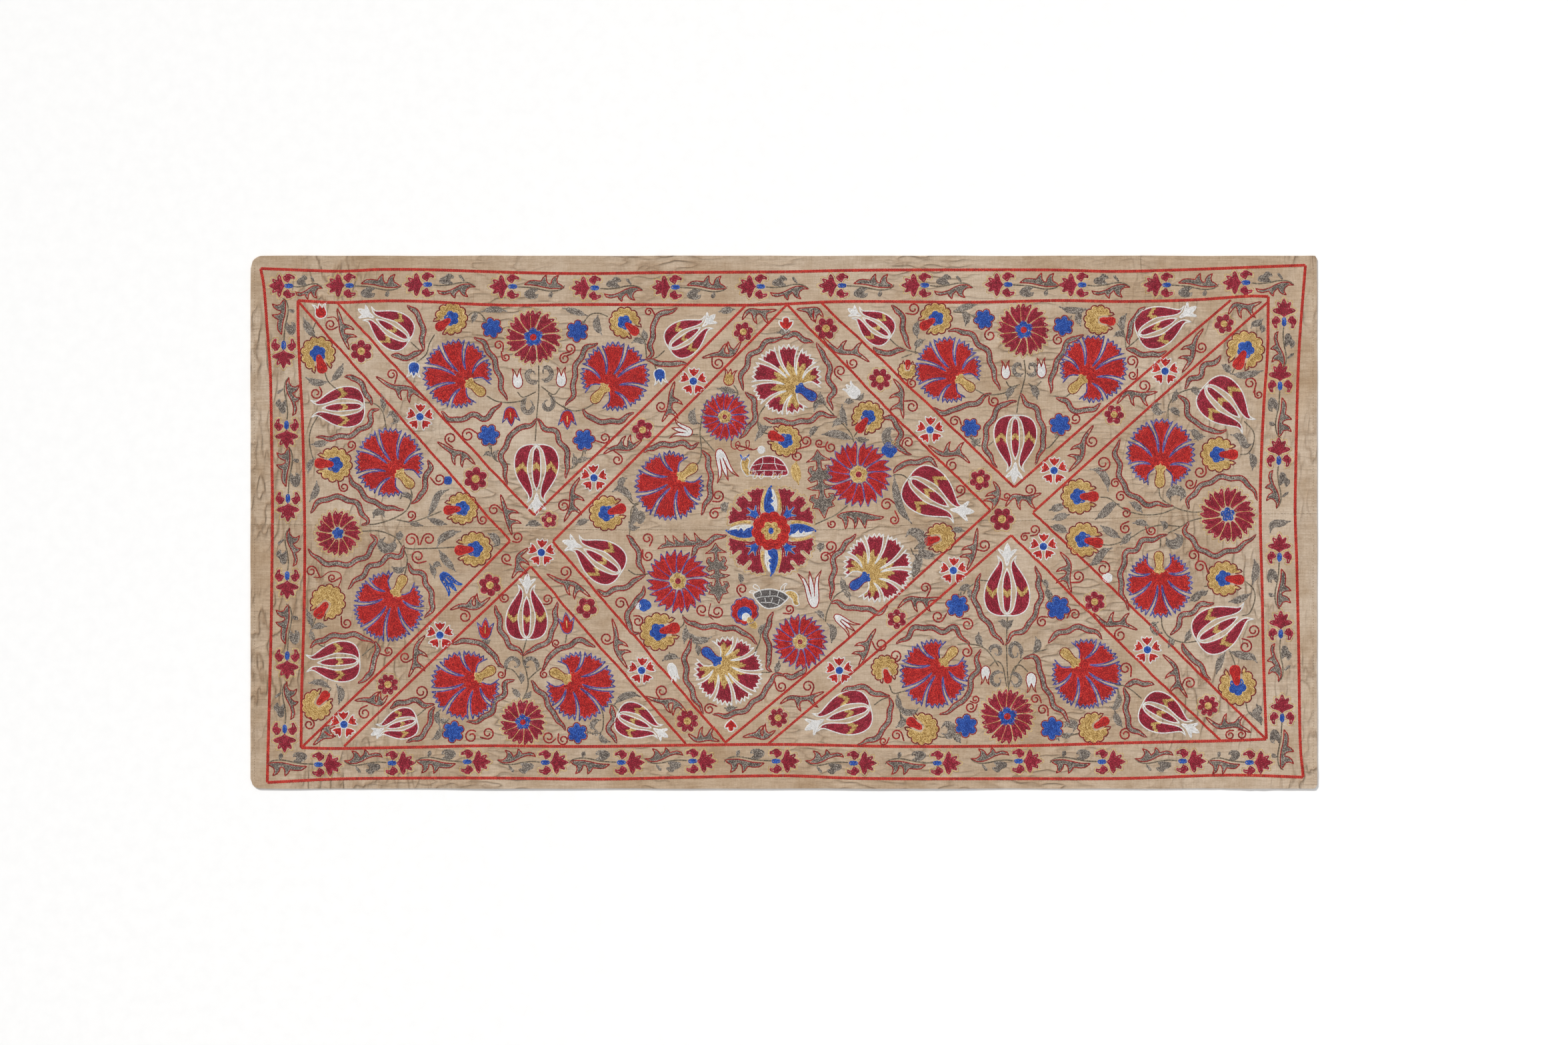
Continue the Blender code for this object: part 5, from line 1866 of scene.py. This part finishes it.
def build_rows(rows):
    """Vertices, faces, stitch UVs and shades of rows of chain stitch."""
    vertices, faces, stitch_uv, shades = [], [], [], []
    start = 0
    for points, closed, width, height in rows:
        flat = to_metres(points)
        count = len(flat)
        if closed:
            heading = np.roll(flat, -1, axis=0) - np.roll(flat, 1, axis=0)
        else:
            heading = np.gradient(flat, axis=0)
        heading = heading / np.maximum(np.hypot(*heading.T), 1e-9)[:, None]
        across = np.column_stack((-heading[:, 1], heading[:, 0]))
        wide = np.arange(count) % 2 == 1
        half = 0.5 * width * PIXEL * np.where(wide, *LOOP_WIDTHS)
        top = ROW_HEIGHT * height * np.where(wide, *LOOP_HEIGHTS)
        if not closed:
            half[[0, -1]] *= END_WIDTH
            top[[0, -1]] *= END_HEIGHT
        foot = np.full(count, FOOT_HEIGHT)
        left = np.column_stack((flat + across * half[:, None], foot))
        middle = np.column_stack((flat, top))
        right = np.column_stack((flat - across * half[:, None], foot))
        vertices.append(np.stack((left, middle, right), axis=1).reshape(-1, 3))
        sections = count if closed else count - 1
        i = np.arange(sections)
        k = (i + 1) % count
        lower = np.column_stack((3 * i + 2, 3 * k + 2, 3 * k + 1, 3 * i + 1))
        upper = np.column_stack((3 * i + 1, 3 * k + 1, 3 * k, 3 * i))
        faces.append(np.stack((lower, upper), axis=1).reshape(-1, 4) + start)
        u0, u1 = i * 0.5, (i + 1) * 0.5
        halves = []
        for v0, v1 in ((0.0, 0.5), (0.5, 1.0)):
            corners = ((u0, v0), (u1, v0), (u1, v1), (u0, v1))
            quad = [np.column_stack((u, np.full(sections, v))) for u, v in corners]
            halves.append(np.stack(quad, axis=1))
        stitch_uv.append(np.stack(halves, axis=1).reshape(-1, 2))
        stitch_shade = RANDOM.uniform(0.0, 1.0, count // 2 + 2)
        shades.append(np.repeat(stitch_shade[(i + 1) // 2], 2))
        start += 3 * count
    return np.vstack(vertices), np.vstack(faces), np.vstack(stitch_uv), np.concatenate(shades)


def build_underlay(cells):
    """Flat squares below the rows, with the values that build_rows gives."""
    corners = np.vstack(cells)
    size = UNDERLAY_CELL
    quads = corners[:, None, :] + np.array(((0, size), (size, size), (size, 0), (0, 0)))[None]
    flat = to_metres(quads.reshape(-1, 2))
    vertices = np.column_stack((flat, np.full(len(flat), UNDERLAY_HEIGHT)))
    faces = np.arange(len(flat)).reshape(-1, 4)
    uv = np.full((len(flat), 2), 0.25)
    # Every underlay face takes the darker tone of painted shade.
    return vertices, faces, uv, np.full(len(faces), UNDERLAY_PAINTED_SHADE)


def add_mesh(name, vertices, faces, material):
    """A smooth-shaded mesh of faces that all have the same number of corners."""
    mesh = bpy.data.meshes.new(name)
    mesh.vertices.add(len(vertices))
    mesh.vertices.foreach_set("co", np.ascontiguousarray(vertices, np.float32).ravel())
    mesh.loops.add(faces.size)
    mesh.loops.foreach_set("vertex_index", np.ascontiguousarray(faces, np.int32).ravel())
    mesh.polygons.add(len(faces))
    mesh.polygons.foreach_set("loop_start", np.arange(0, faces.size, faces.shape[1], dtype=np.int32))
    mesh.polygons.foreach_set("loop_total", np.full(len(faces), faces.shape[1], np.int32))
    mesh.update(calc_edges=True)
    mesh.validate()
    mesh.materials.append(material)
    mesh.shade_smooth()
    piece = bpy.data.objects.new(name, mesh)
    bpy.context.scene.collection.objects.link(piece)
    return piece


def add_uv(mesh, name, values):
    layer = mesh.uv_layers.new(name=name)
    layer.data.foreach_set("uv", np.ascontiguousarray(values, np.float32).ravel())


def planar_uv(vertices, faces):
    """Places seen from above, scaled into one square."""
    flat = vertices[:, :2]
    low = flat.min(axis=0)
    span = (flat.max(axis=0) - low).max()
    return ((flat - low) / span)[faces.ravel()]


def thread_piece(thread, region, rows, cells, material):
    """One mesh of all the stitches in one thread on one part of the cloth."""
    parts = [build_rows(rows)] if rows else []
    if cells:
        parts.append(build_underlay(cells))
    vertices = np.vstack([part[0] for part in parts])
    offsets = np.cumsum([0] + [len(part[0]) for part in parts])
    faces = np.vstack([part[1] + offset for part, offset in zip(parts, offsets)])
    vertices[:, 2] += surface(vertices[:, 0], vertices[:, 1])
    piece = add_mesh(f"embroidery_{thread}_{region}", vertices, faces, material)
    mesh = piece.data
    add_uv(mesh, "OFBake", planar_uv(vertices, faces))
    add_uv(mesh, "stitch", np.vstack([part[2] for part in parts]))
    shade = mesh.attributes.new("shade", "FLOAT", "FACE")
    shade.data.foreach_set("value", np.concatenate([part[3] for part in parts]).astype(np.float32))
    return piece


# Materials.


CREASE_SHARPNESS = 9.0


class Nodes:
    """Short calls for a material's node tree."""

    def __init__(self, name, roughness, **constants):
        self.material = bpy.data.materials.new(name)
        self.material.use_nodes = True
        self.tree = self.material.node_tree
        self.shader = self.tree.nodes["Principled BSDF"]
        self.shader.inputs["Roughness"].default_value = roughness
        for socket, value in constants.items():
            self.shader.inputs[socket.replace("_", " ")].default_value = value

    def add(self, kind, **values):
        node = self.tree.nodes.new(kind)
        for key, value in values.items():
            setattr(node, key, value)
        return node

    def where(self):
        """Places on the piece itself."""
        return self.add("ShaderNodeTexCoord").outputs["Object"]

    def link(self, output, target):
        self.tree.links.new(output, target)

    def put(self, target, value):
        if hasattr(value, "is_output"):
            self.link(value, target)
        else:
            target.default_value = value

    def maths(self, operation, *values, clamp=False):
        node = self.add("ShaderNodeMath", operation=operation, use_clamp=clamp)
        for socket, value in zip(node.inputs, values):
            self.put(socket, value)
        return node.outputs[0]

    def noise(self, vector, scale, detail=3.0, rough=0.55):
        node = self.add("ShaderNodeTexNoise")
        self.link(vector, node.inputs["Vector"])
        node.inputs["Scale"].default_value = scale
        node.inputs["Detail"].default_value = detail
        node.inputs["Roughness"].default_value = rough
        return node.outputs["Fac"]

    def crease(self, vector, scale, turn_deg):
        """Thin wandering lines, longer along the smaller scale: 1 on a line and 0 off it."""
        swaying = self.noise(self.scaled(vector, scale, turn_deg), 1.0, 1.6, 0.45)
        off_line = self.maths("ABSOLUTE", self.maths("SUBTRACT", swaying, 0.5))
        sharp = self.maths("MULTIPLY_ADD", off_line, -CREASE_SHARPNESS, 1.0, clamp=True)
        return self.maths("POWER", sharp, 2.0)

    def scaled(self, vector, scale, turn_deg=0.0):
        node = self.add("ShaderNodeMapping")
        self.link(vector, node.inputs["Vector"])
        node.inputs["Scale"].default_value = scale
        node.inputs["Rotation"].default_value[2] = math.radians(turn_deg)
        return node.outputs["Vector"]

    def ramp(self, factor, stops):
        node = self.add("ShaderNodeValToRGB")
        self.link(factor, node.inputs["Fac"])
        elements = node.color_ramp.elements
        while len(elements) < len(stops):
            elements.new(0.5)
        for element, (position, colour) in zip(elements, stops):
            element.position = position
            element.color = linear(colour)
        return node.outputs["Color"]

    def mix(self, kind, factor, first, second):
        node = self.add("ShaderNodeMix", data_type="RGBA", blend_type=kind)
        self.put(node.inputs[0], factor)
        for socket, value in ((node.inputs[6], first), (node.inputs[7], second)):
            self.put(socket, linear(value) if isinstance(value, tuple) else value)
        return node.outputs[2]

    def bump(self, height, strength, distance, normal=None):
        node = self.add("ShaderNodeBump")
        node.inputs["Strength"].default_value = strength
        node.inputs["Distance"].default_value = distance
        self.link(height, node.inputs["Height"])
        if normal is not None:
            self.link(normal, node.inputs["Normal"])
        return node.outputs["Normal"]

    def finish(self, colour, normal):
        self.link(colour, self.shader.inputs["Base Color"])
        self.link(normal, self.shader.inputs["Normal"])
        return self.material


def linear(colour):
    """A colour of 0 to 255 steps as Blender's linear values."""
    values = [c / 255.0 for c in colour[:3]]
    return (*[v / 12.92 if v <= 0.04045 else ((v + 0.055) / 1.055) ** 2.4 for v in values], 1.0)


# Each thread's dark, middle and light colour.
THREADS = {
    "scarlet": ((112, 8, 12), (182, 26, 24), (222, 64, 50)),
    "frame_red": ((112, 18, 14), (172, 34, 26), (212, 76, 58)),
    "brick": ((92, 14, 16), (140, 30, 28), (176, 58, 50)),
    "maroon": ((78, 14, 16), (114, 26, 26), (150, 56, 50)),
    "crimson": ((92, 8, 24), (142, 20, 42), (186, 60, 80)),
    "blue": ((16, 42, 108), (30, 76, 164), (72, 118, 198)),
    "violet": ((44, 38, 88), (72, 68, 136), (124, 122, 180)),
    "ochre": ((122, 88, 36), (196, 160, 96), (234, 208, 150)),
    "white": ((170, 168, 166), (218, 216, 214), (244, 243, 242)),
    "grey": ((58, 50, 46), (114, 103, 94), (186, 176, 164)),
    "slate": ((54, 50, 50), (94, 88, 86), (142, 134, 130)),
    "stem": ((62, 52, 42), (104, 92, 76), (152, 140, 120)),
}


# How much a thread's tone varies: from stitch to stitch, within a stitch, and by its twist.
TONES = {
    "grey": (0.30, 2.4, 0.0),
    "slate": (0.34, 2.0, 0.0),
    "stem": (0.40, 1.8, 0.0),
    "ochre": (0.36, 1.7, 0.0),
    "white": (0.25, 0.8, 0.0),
    "frame_red": (0.30, 1.0, 0.22),
}
PLAIN_TONE = (0.42, 2.1, 0.0)
GROOVE_DEPTH = 0.0003


def thread_material(name):
    """Silk chain stitch: linked loops along each row, each stitch in a shade of its own, with painted shade
    in the middle of each loop.
    """
    dark, middle, light = THREADS[name]
    by_stitch, by_fleck, by_twist = TONES.get(name, PLAIN_TONE)
    nodes = Nodes(f"{name}_thread", 0.55, Specular_IOR_Level=0.3)
    where = nodes.where()
    shade = nodes.add("ShaderNodeAttribute", attribute_name="shade").outputs["Fac"]
    stitch = nodes.add("ShaderNodeUVMap", uv_map="stitch").outputs["UV"]
    parts = nodes.add("ShaderNodeSeparateXYZ")
    nodes.link(stitch, parts.inputs[0])
    along = nodes.maths("FRACT", parts.outputs["X"])
    off_middle = nodes.maths("ABSOLUTE", nodes.maths("SUBTRACT", parts.outputs["Y"], 0.5))
    narrow = nodes.maths("MULTIPLY", off_middle, 6.0, clamp=True)
    opening = nodes.maths("SUBTRACT", 1.0, narrow)
    loop = nodes.maths("SINE", nodes.maths("MULTIPLY", along, math.pi))
    hole = nodes.maths("MULTIPLY", opening, loop)
    slant = nodes.maths("MULTIPLY", off_middle, 40.0)
    twist = nodes.maths("SINE", nodes.maths("MULTIPLY_ADD", parts.outputs["X"], 44.0, slant))
    slope = nodes.maths("MULTIPLY", parts.outputs["Y"], 5.0)
    rope = nodes.maths("MULTIPLY_ADD", parts.outputs["X"], 9.4, slope)
    fleck = nodes.noise(where, 900.0, 2.0, 0.6)
    patch = nodes.noise(where, 24.0, 2.0)
    tone = nodes.maths("MULTIPLY_ADD", shade, by_stitch, 0.5 - 0.5 * by_stitch - 0.5 * by_fleck - 0.12)
    tone = nodes.maths("MULTIPLY_ADD", fleck, by_fleck, tone)
    tone = nodes.maths("MULTIPLY_ADD", patch, 0.24, tone)
    tone = nodes.maths("MULTIPLY_ADD", nodes.maths("SINE", rope), by_twist, tone)
    # Painted shade: each loop's colour is darker in its hollow middle, where the hole is.
    tone = nodes.maths("MULTIPLY_ADD", hole, -0.10, tone, clamp=True)
    colour = nodes.ramp(tone, ((0.10, dark), (0.50, middle), (0.92, light)))
    groove = nodes.maths("MULTIPLY_ADD", twist, 0.3, nodes.maths("MULTIPLY", hole, -0.7))
    return nodes.finish(colour, nodes.bump(groove, 0.4, GROOVE_DEPTH))


# The undyed cotton's dark, middle and light colour, and the tone of its clouds.
CLOTH_COLOURS = ((172, 153, 133), (197, 179, 159), (218, 202, 184))
CLOUD_STOPS = ((0.34, (216, 202, 184)), (0.54, (250, 248, 246)), (0.70, (255, 255, 255)))
# Noise scales along and across the cloth: thick and fine weft, warp, creases and rubbed spots.
SLUB_SCALE = (30.0, 420.0, 1.0)
FINE_SCALE = (260.0, 1000.0, 1.0)
WARP_SCALE = (620.0, 70.0, 1.0)
LYING_SCALE = (22.0, 64.0, 1.0)
STANDING_SCALE = (64.0, 22.0, 1.0)
RUB_SCALE = (14.0, 30.0, 1.0)
# Old stains, then brown drips: scale, detail, roughness, strength and colour stops.
STAINS = (
    ((2.2, 4.0, 1.0), 4.0, 0.6, 0.6, ((0.35, (228, 212, 190)), (0.62, (255, 255, 255)))),
    ((26.0, 9.0, 1.0), 5.0, 0.75, 0.8, ((0.27, (190, 160, 126)), (0.36, (255, 255, 255)))),
)
# The colour of the painted shade that darkens the cloth along its creases.
PAINTED_CREASE_SHADE = (168, 140, 108)
CREASE_DEPTH = 0.0018
WEAVE_DEPTH = 0.0006


def cloth_material(name, tint):
    """Hand-woven cotton: slubby weft along the length, stains, a fine weave, and painted shade along its
    creases.
    """
    nodes = Nodes(name, 0.9, Specular_IOR_Level=0.2)
    where = nodes.where()
    slub = nodes.noise(nodes.scaled(where, SLUB_SCALE), 1.0, 3.0, 0.6)
    fine = nodes.noise(nodes.scaled(where, FINE_SCALE), 1.0, 2.0)
    warp = nodes.noise(nodes.scaled(where, WARP_SCALE), 1.0, 3.0, 0.6)
    weave = nodes.maths("MULTIPLY", slub, 0.40)
    weave = nodes.maths("MULTIPLY_ADD", fine, 0.34, weave)
    weave = nodes.maths("MULTIPLY_ADD", warp, 0.26, weave)
    dark, middle, light = (tuple(c * t for c, t in zip(colour, tint)) for colour in CLOTH_COLOURS)
    colour = nodes.ramp(weave, ((0.32, dark), (0.50, middle), (0.68, light)))
    cloud = nodes.noise(where, 14.0, 5.0, 0.66)
    colour = nodes.mix("MULTIPLY", 0.7, colour, nodes.ramp(cloud, CLOUD_STOPS))
    for scale, detail, rough, share, stops in STAINS:
        stain = nodes.ramp(nodes.noise(nodes.scaled(where, scale), 1.0, detail, rough), stops)
        colour = nodes.mix("MULTIPLY", share, colour, stain)
    lying = nodes.crease(where, LYING_SCALE, 6.0)
    standing = nodes.crease(where, STANDING_SCALE, -9.0)
    place_on = nodes.add("ShaderNodeSeparateXYZ")
    nodes.link(where, place_on.inputs[0])
    from_middle = nodes.maths("ABSOLUTE", place_on.outputs["X"])
    at_end = nodes.maths("MULTIPLY_ADD", from_middle, 6.0, -2.3, clamp=True)
    patchy = nodes.maths("MULTIPLY_ADD", nodes.noise(where, 7.0, 2.0), 6.0, -2.6, clamp=True)
    wrinkle = nodes.maths("MULTIPLY", standing, at_end)
    flat_share = nodes.maths("MULTIPLY_ADD", at_end, -0.55, 0.8)
    wrinkle = nodes.maths("MULTIPLY_ADD", lying, flat_share, wrinkle, clamp=True)
    wrinkle = nodes.maths("MULTIPLY", wrinkle, patchy)
    # Painted shade: the crease lines darken the colour, besides bending the normals through the bump.
    shadow = nodes.maths("MULTIPLY", wrinkle, 0.5)
    colour = nodes.mix("MULTIPLY", shadow, colour, PAINTED_CREASE_SHADE)
    rub = nodes.noise(nodes.scaled(where, RUB_SCALE), 1.0, 3.0, 0.7)
    worn = nodes.ramp(rub, ((0.74, (0, 0, 0)), (0.80, (255, 255, 255))))
    colour = nodes.mix("SCREEN", 0.35, colour, worn)
    yarn = nodes.add("ShaderNodeTexWave", wave_type="BANDS", bands_direction="Y")
    nodes.link(where, yarn.inputs["Vector"])
    yarn.inputs["Scale"].default_value = 240.0
    yarn.inputs["Distortion"].default_value = 7.0
    yarn.inputs["Detail Scale"].default_value = 40.0
    rise = nodes.maths("MULTIPLY_ADD", yarn.outputs["Fac"], 0.22, weave)
    folded = nodes.bump(wrinkle, 1.0, CREASE_DEPTH)
    return nodes.finish(colour, nodes.bump(rise, 0.4, WEAVE_DEPTH, folded))


def sewing_material():
    """Plain brownish cotton thread for the seam and the hems."""
    nodes = Nodes("sewing_thread", 0.7)
    where = nodes.where()
    speck = nodes.noise(where, 300.0, 2.0)
    colour = nodes.ramp(speck, ((0.3, (108, 86, 62)), (0.7, (160, 138, 108))))
    return nodes.finish(colour, nodes.bump(speck, 0.3, 0.0002))


# The cloth and its sewing.

CELL_LENGTH = 0.0030
CELL_WIDTH = 0.0030
CLOSER_AT_ENDS = 0.04
SHARP_DEG = 50.0
# How a hand-turned hem strays inwards: the most, then the two waves that it is made of.
LONG_EDGE = (0.0006, 37.0, 13.0, 1.0)
SHORT_EDGE = (0.0005, 41.0, 17.0, 2.0)


def uneven(places, most, first_wave, second_wave, shift):
    """How far the hem strays inwards at these places along an edge."""
    return most * (1.0 + np.sin(places * first_wave) * np.sin(places * second_wave + shift)) * 0.5


def edge_y(x, side):
    """Height of the top edge (side 1) or bottom edge (side -1) at x, with its round corners."""
    rows = ("bottom", "top")
    end = "left" if x < 0 else "right"
    radius = CORNER_RADIUS[f"{rows[side > 0]}_{end}"]
    inside = CLOTH_LENGTH / 2 - abs(x)
    if inside >= radius:
        return side * CLOTH_WIDTH / 2
    drop = radius - math.sqrt(radius**2 - (radius - inside) ** 2)
    return side * (CLOTH_WIDTH / 2 - drop)


def cloth_panel(name, side, material):
    """One loom width as a thin closed sheet with its wrinkles."""
    columns = round(CLOTH_LENGTH / CELL_LENGTH)
    rows = round(CLOTH_WIDTH / 2 / CELL_WIDTH)
    closer = CLOTH_LENGTH / 2 * np.sin(np.linspace(-1, 1, columns + 1) * math.pi / 2)
    even = np.linspace(-CLOTH_LENGTH / 2, CLOTH_LENGTH / 2, columns + 1)
    xs = CLOSER_AT_ENDS * closer + (1.0 - CLOSER_AT_ENDS) * even
    seam = seam_y(xs) + side * SEAM_GAP / 2
    rim = np.array([edge_y(x, side) for x in xs])
    rim = rim - side * uneven(xs, *LONG_EDGE)
    low, high = (seam, rim) if side > 0 else (rim, seam)
    t = np.linspace(0.0, 1.0, rows + 1)[None, :]
    ys = low[:, None] * (1 - t) + high[:, None] * t
    xx = np.repeat(xs[:, None], rows + 1, axis=1)
    inset = uneven(ys, *SHORT_EDGE)
    xx[0] += inset[0]
    xx[-1] -= inset[-1]
    zz = surface(xx.ravel(), ys.ravel()).reshape(xx.shape)
    top = np.stack((xx, ys, zz), axis=2).reshape(-1, 3)
    index = np.arange((columns + 1) * (rows + 1)).reshape(columns + 1, rows + 1)
    quads = np.stack((index[:-1, :-1], index[1:, :-1], index[1:, 1:], index[:-1, 1:]), axis=2)
    border = np.concatenate((index[:-1, 0], index[-1, :-1], index[1:, -1][::-1], index[0, 1:][::-1]))
    under = top[border] * (1.0, 1.0, 0.0)
    base = len(top) + np.arange(len(border))
    following = np.roll(border, -1)
    walls = np.stack((following, border, base, np.roll(base, -1)), axis=1)
    vertices = np.vstack((top, under))
    faces = np.vstack((quads.reshape(-1, 4), walls))
    panel = add_mesh(name, vertices, faces, material)
    mesh = panel.data
    add_underside(mesh, base)
    loops = np.empty(len(mesh.loops), np.int32)
    mesh.loops.foreach_get("vertex_index", loops)
    add_uv(mesh, "OFBake", ((vertices[:, :2] + CLOTH_LENGTH / 2) / CLOTH_LENGTH)[loops])
    mesh.set_sharp_from_angle(angle=math.radians(SHARP_DEG))
    return panel


def add_underside(mesh, rim):
    """One flat face closes the sheet below."""
    form = bmesh.new()
    form.from_mesh(mesh)
    form.verts.ensure_lookup_table()
    form.faces.new([form.verts[i] for i in reversed(rim)])
    form.to_mesh(mesh)
    form.free()


# A short stitch's points, as shares of its length, width and height, and its faces.
DASH_POINTS = (
    (-0.5, 0.0, 0.0), (-0.3, -0.5, 0.0), (0.3, -0.5, 0.0), (0.5, 0.0, 0.0), (0.3, 0.5, 0.0),
    (-0.3, 0.5, 0.0), (-0.25, 0.0, 1.0), (0.25, 0.0, 1.0),
)
DASH_FACES = ((0, 1, 6), (1, 2, 7, 6), (2, 3, 7), (3, 4, 7), (4, 5, 6, 7), (5, 0, 6))
DASH_FOOT = 0.00002
DASH_RISE = 0.00035


def dash(x, y, turn, length, width):
    """A short raised stitch."""
    c, s = math.cos(turn), math.sin(turn)
    points = []
    for u, v, h in DASH_POINTS:
        px, py = u * length, v * width
        points.append((x + px * c - py * s, y + px * s + py * c, DASH_FOOT + DASH_RISE * h))
    return points


def stitch_line(name, places, material):
    """Short stitches as one mesh: x, y, turn, length and width of each."""
    vertices = []
    faces = []
    for x, y, turn, length, width in places:
        start = len(vertices)
        vertices.extend(dash(x, y, turn, length, width))
        faces.extend([start + i for i in face] for face in DASH_FACES)
    flat = np.array(vertices)
    flat[:, 2] += surface(flat[:, 0], flat[:, 1])
    mesh = bpy.data.meshes.new(name)
    mesh.from_pydata(flat.tolist(), [], faces)
    mesh.materials.append(material)
    mesh.shade_smooth()
    piece = bpy.data.objects.new(name, mesh)
    bpy.context.scene.collection.objects.link(piece)
    return piece


SEAM_STITCH_PITCH = 0.0042
HEM_STITCH_PITCH = 0.0036
HEM_STITCH_INSET = 0.0052
# Length and width of a stitch, and how far a hand strays from the line.
SEAM_STITCH = (0.0024, 0.0008)
HEM_STITCH = (0.0016, 0.0007)
SEWING_SHAKE = 0.0003
HEM_STITCH_START = 0.016
HEM_STITCH_MARGIN = 0.012


def seam_stitches(material):
    """Stitches across the join of the two widths."""
    places = []
    count = int(CLOTH_LENGTH / SEAM_STITCH_PITCH) - 2
    for k in range(count):
        x = -CLOTH_LENGTH / 2 + (k + 1.2) * SEAM_STITCH_PITCH + RANDOM.normal(0.0, SEWING_SHAKE)
        y = float(seam_y(x)) + RANDOM.normal(0.0, SEWING_SHAKE / 2)
        slope = math.atan2(float(seam_y(x + 0.002) - seam_y(x - 0.002)), 0.004)
        places.append((x, y, slope + RANDOM.normal(0.0, 0.08), *SEAM_STITCH))
    return stitch_line("seam_stitches", places, material)


def hem_stitches(name, side, material):
    """Stitches along the hems of both ends of one width."""
    places = []
    for end in (-1, 1):
        x = end * (CLOTH_LENGTH / 2 - HEM_STITCH_INSET)
        span = CLOTH_WIDTH / 2 - HEM_STITCH_MARGIN
        count = int(span / HEM_STITCH_PITCH)
        for k in range(count):
            y = side * (HEM_STITCH_START + k * HEM_STITCH_PITCH)
            if abs(y) > span:
                break
            y += RANDOM.normal(0.0, SEWING_SHAKE)
            beside = x + RANDOM.normal(0.0, SEWING_SHAKE)
            turn = math.pi / 2 + RANDOM.normal(0.0, 0.2)
            places.append((beside, y, turn, *HEM_STITCH))
    return stitch_line(name, places, material)


# Camera, light and floor.

LENS_MM = 100.0
SENSOR_MM = 36.0
LIGHT_DISTANCE = 3.0
KEY_STRENGTH = 2.7
FILL_POWER = 12.0
WORLD_STRENGTH = 0.46
FLOOR_HALF = 6.0


def studio():
    """The camera above the cloth, a key light, a fill light and an even white surround."""
    scene = bpy.context.scene
    scene.view_settings.view_transform = "Standard"
    camera = bpy.data.cameras.new("camera")
    camera.lens = LENS_MM
    camera.sensor_width = SENSOR_MM
    holder = bpy.data.objects.new("camera", camera)
    scene.collection.objects.link(holder)
    wide = PHOTO_WIDTH * PIXEL
    centre_x = (PHOTO_WIDTH / 2 - MIDDLE_X) * PIXEL
    centre_y = (MIDDLE_Y - PHOTO_HEIGHT / 2) * PIXEL
    holder.location = (centre_x, centre_y, CLOTH_THICKNESS + wide * LENS_MM / SENSOR_MM)
    scene.camera = holder
    add_light("SUN", "key", 125.0, 38.0, KEY_STRENGTH, (1.0, 0.99, 0.97), 9.0)
    add_light("AREA", "fill", -30.0, 60.0, FILL_POWER, (0.97, 0.98, 1.0), 2.5)
    world = bpy.data.worlds.new("studio")
    scene.world = world
    world.use_nodes = True
    backdrop = world.node_tree.nodes["Background"]
    backdrop.inputs["Color"].default_value = (1.0, 1.0, 1.0, 1.0)
    backdrop.inputs["Strength"].default_value = WORLD_STRENGTH


def add_light(kind, name, azimuth, elevation, power, colour, spread):
    """A soft light that points at the cloth's middle from one side."""
    lamp = bpy.data.lights.new(name, kind)
    lamp.energy = power
    lamp.color = colour
    if kind == "SUN":
        lamp.angle = math.radians(spread)
    else:
        lamp.size = spread
    holder = bpy.data.objects.new(name, lamp)
    tilt = math.radians(90.0 - elevation)
    turn = math.radians(azimuth)
    holder.rotation_euler = (tilt, 0.0, turn + math.pi / 2)
    sideways = math.sin(tilt)
    towards = (sideways * math.cos(turn), sideways * math.sin(turn), math.cos(tilt))
    holder.location = [LIGHT_DISTANCE * share for share in towards]
    bpy.context.scene.collection.objects.link(holder)


def floor():
    """A pale surface under the cloth, for the photograph only."""
    nodes = Nodes("pale_floor", 0.8)
    where = nodes.where()
    grain = nodes.noise(where, 60.0, 2.0)
    colour = nodes.ramp(grain, ((0.3, (247, 247, 247)), (0.7, (250, 250, 250))))
    material = nodes.finish(colour, nodes.bump(grain, 0.02, 0.0001))
    corners = ((-1, -1, 0), (1, -1, 0), (1, 1, 0), (-1, 1, 0))
    vertices = np.array(corners) * FLOOR_HALF
    sheet = add_mesh("floor", vertices, np.array(((0, 1, 2, 3),)), material)


def main():
    """Build everything, and say what rides on what."""
    studio()
    floor()
    embroider()
    panels = {}
    for side_name, side, tint in (("upper", 1, (1.0, 1.0, 1.0)), ("lower", -1, (0.985, 0.98, 0.975))):
        material = cloth_material(f"{side_name}_cloth", tint)
        panel = cloth_panel(f"{side_name}_cloth_sheet", side, material)
        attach(panel, "root")
        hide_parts(f"{side_name}_panel")
        panels[side_name] = (panel, [])
    materials = {name: thread_material(name) for name in THREADS}
    for thread, region in sorted(set(ROWS) | set(UNDERLAYS)):
        piece = thread_piece(
            thread,
            region,
            ROWS.get((thread, region), []),
            UNDERLAYS.get((thread, region), []),
            materials[thread],
        )
        side_name = region.split("_")[0]
        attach(piece, "root")
        panels[side_name][1].append(piece)
    sewing = sewing_material()
    for side_name, side in (("upper", 1), ("lower", -1)):
        piece = hem_stitches(f"hem_stitches_{side_name}", side, sewing)
        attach(piece, "root")
        panels[side_name][1].append(piece)
    piece = seam_stitches(sewing)
    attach(piece, "root")
    panels["upper"][1].append(piece)
    for panel, parts in panels.values():
        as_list(parts)


main()
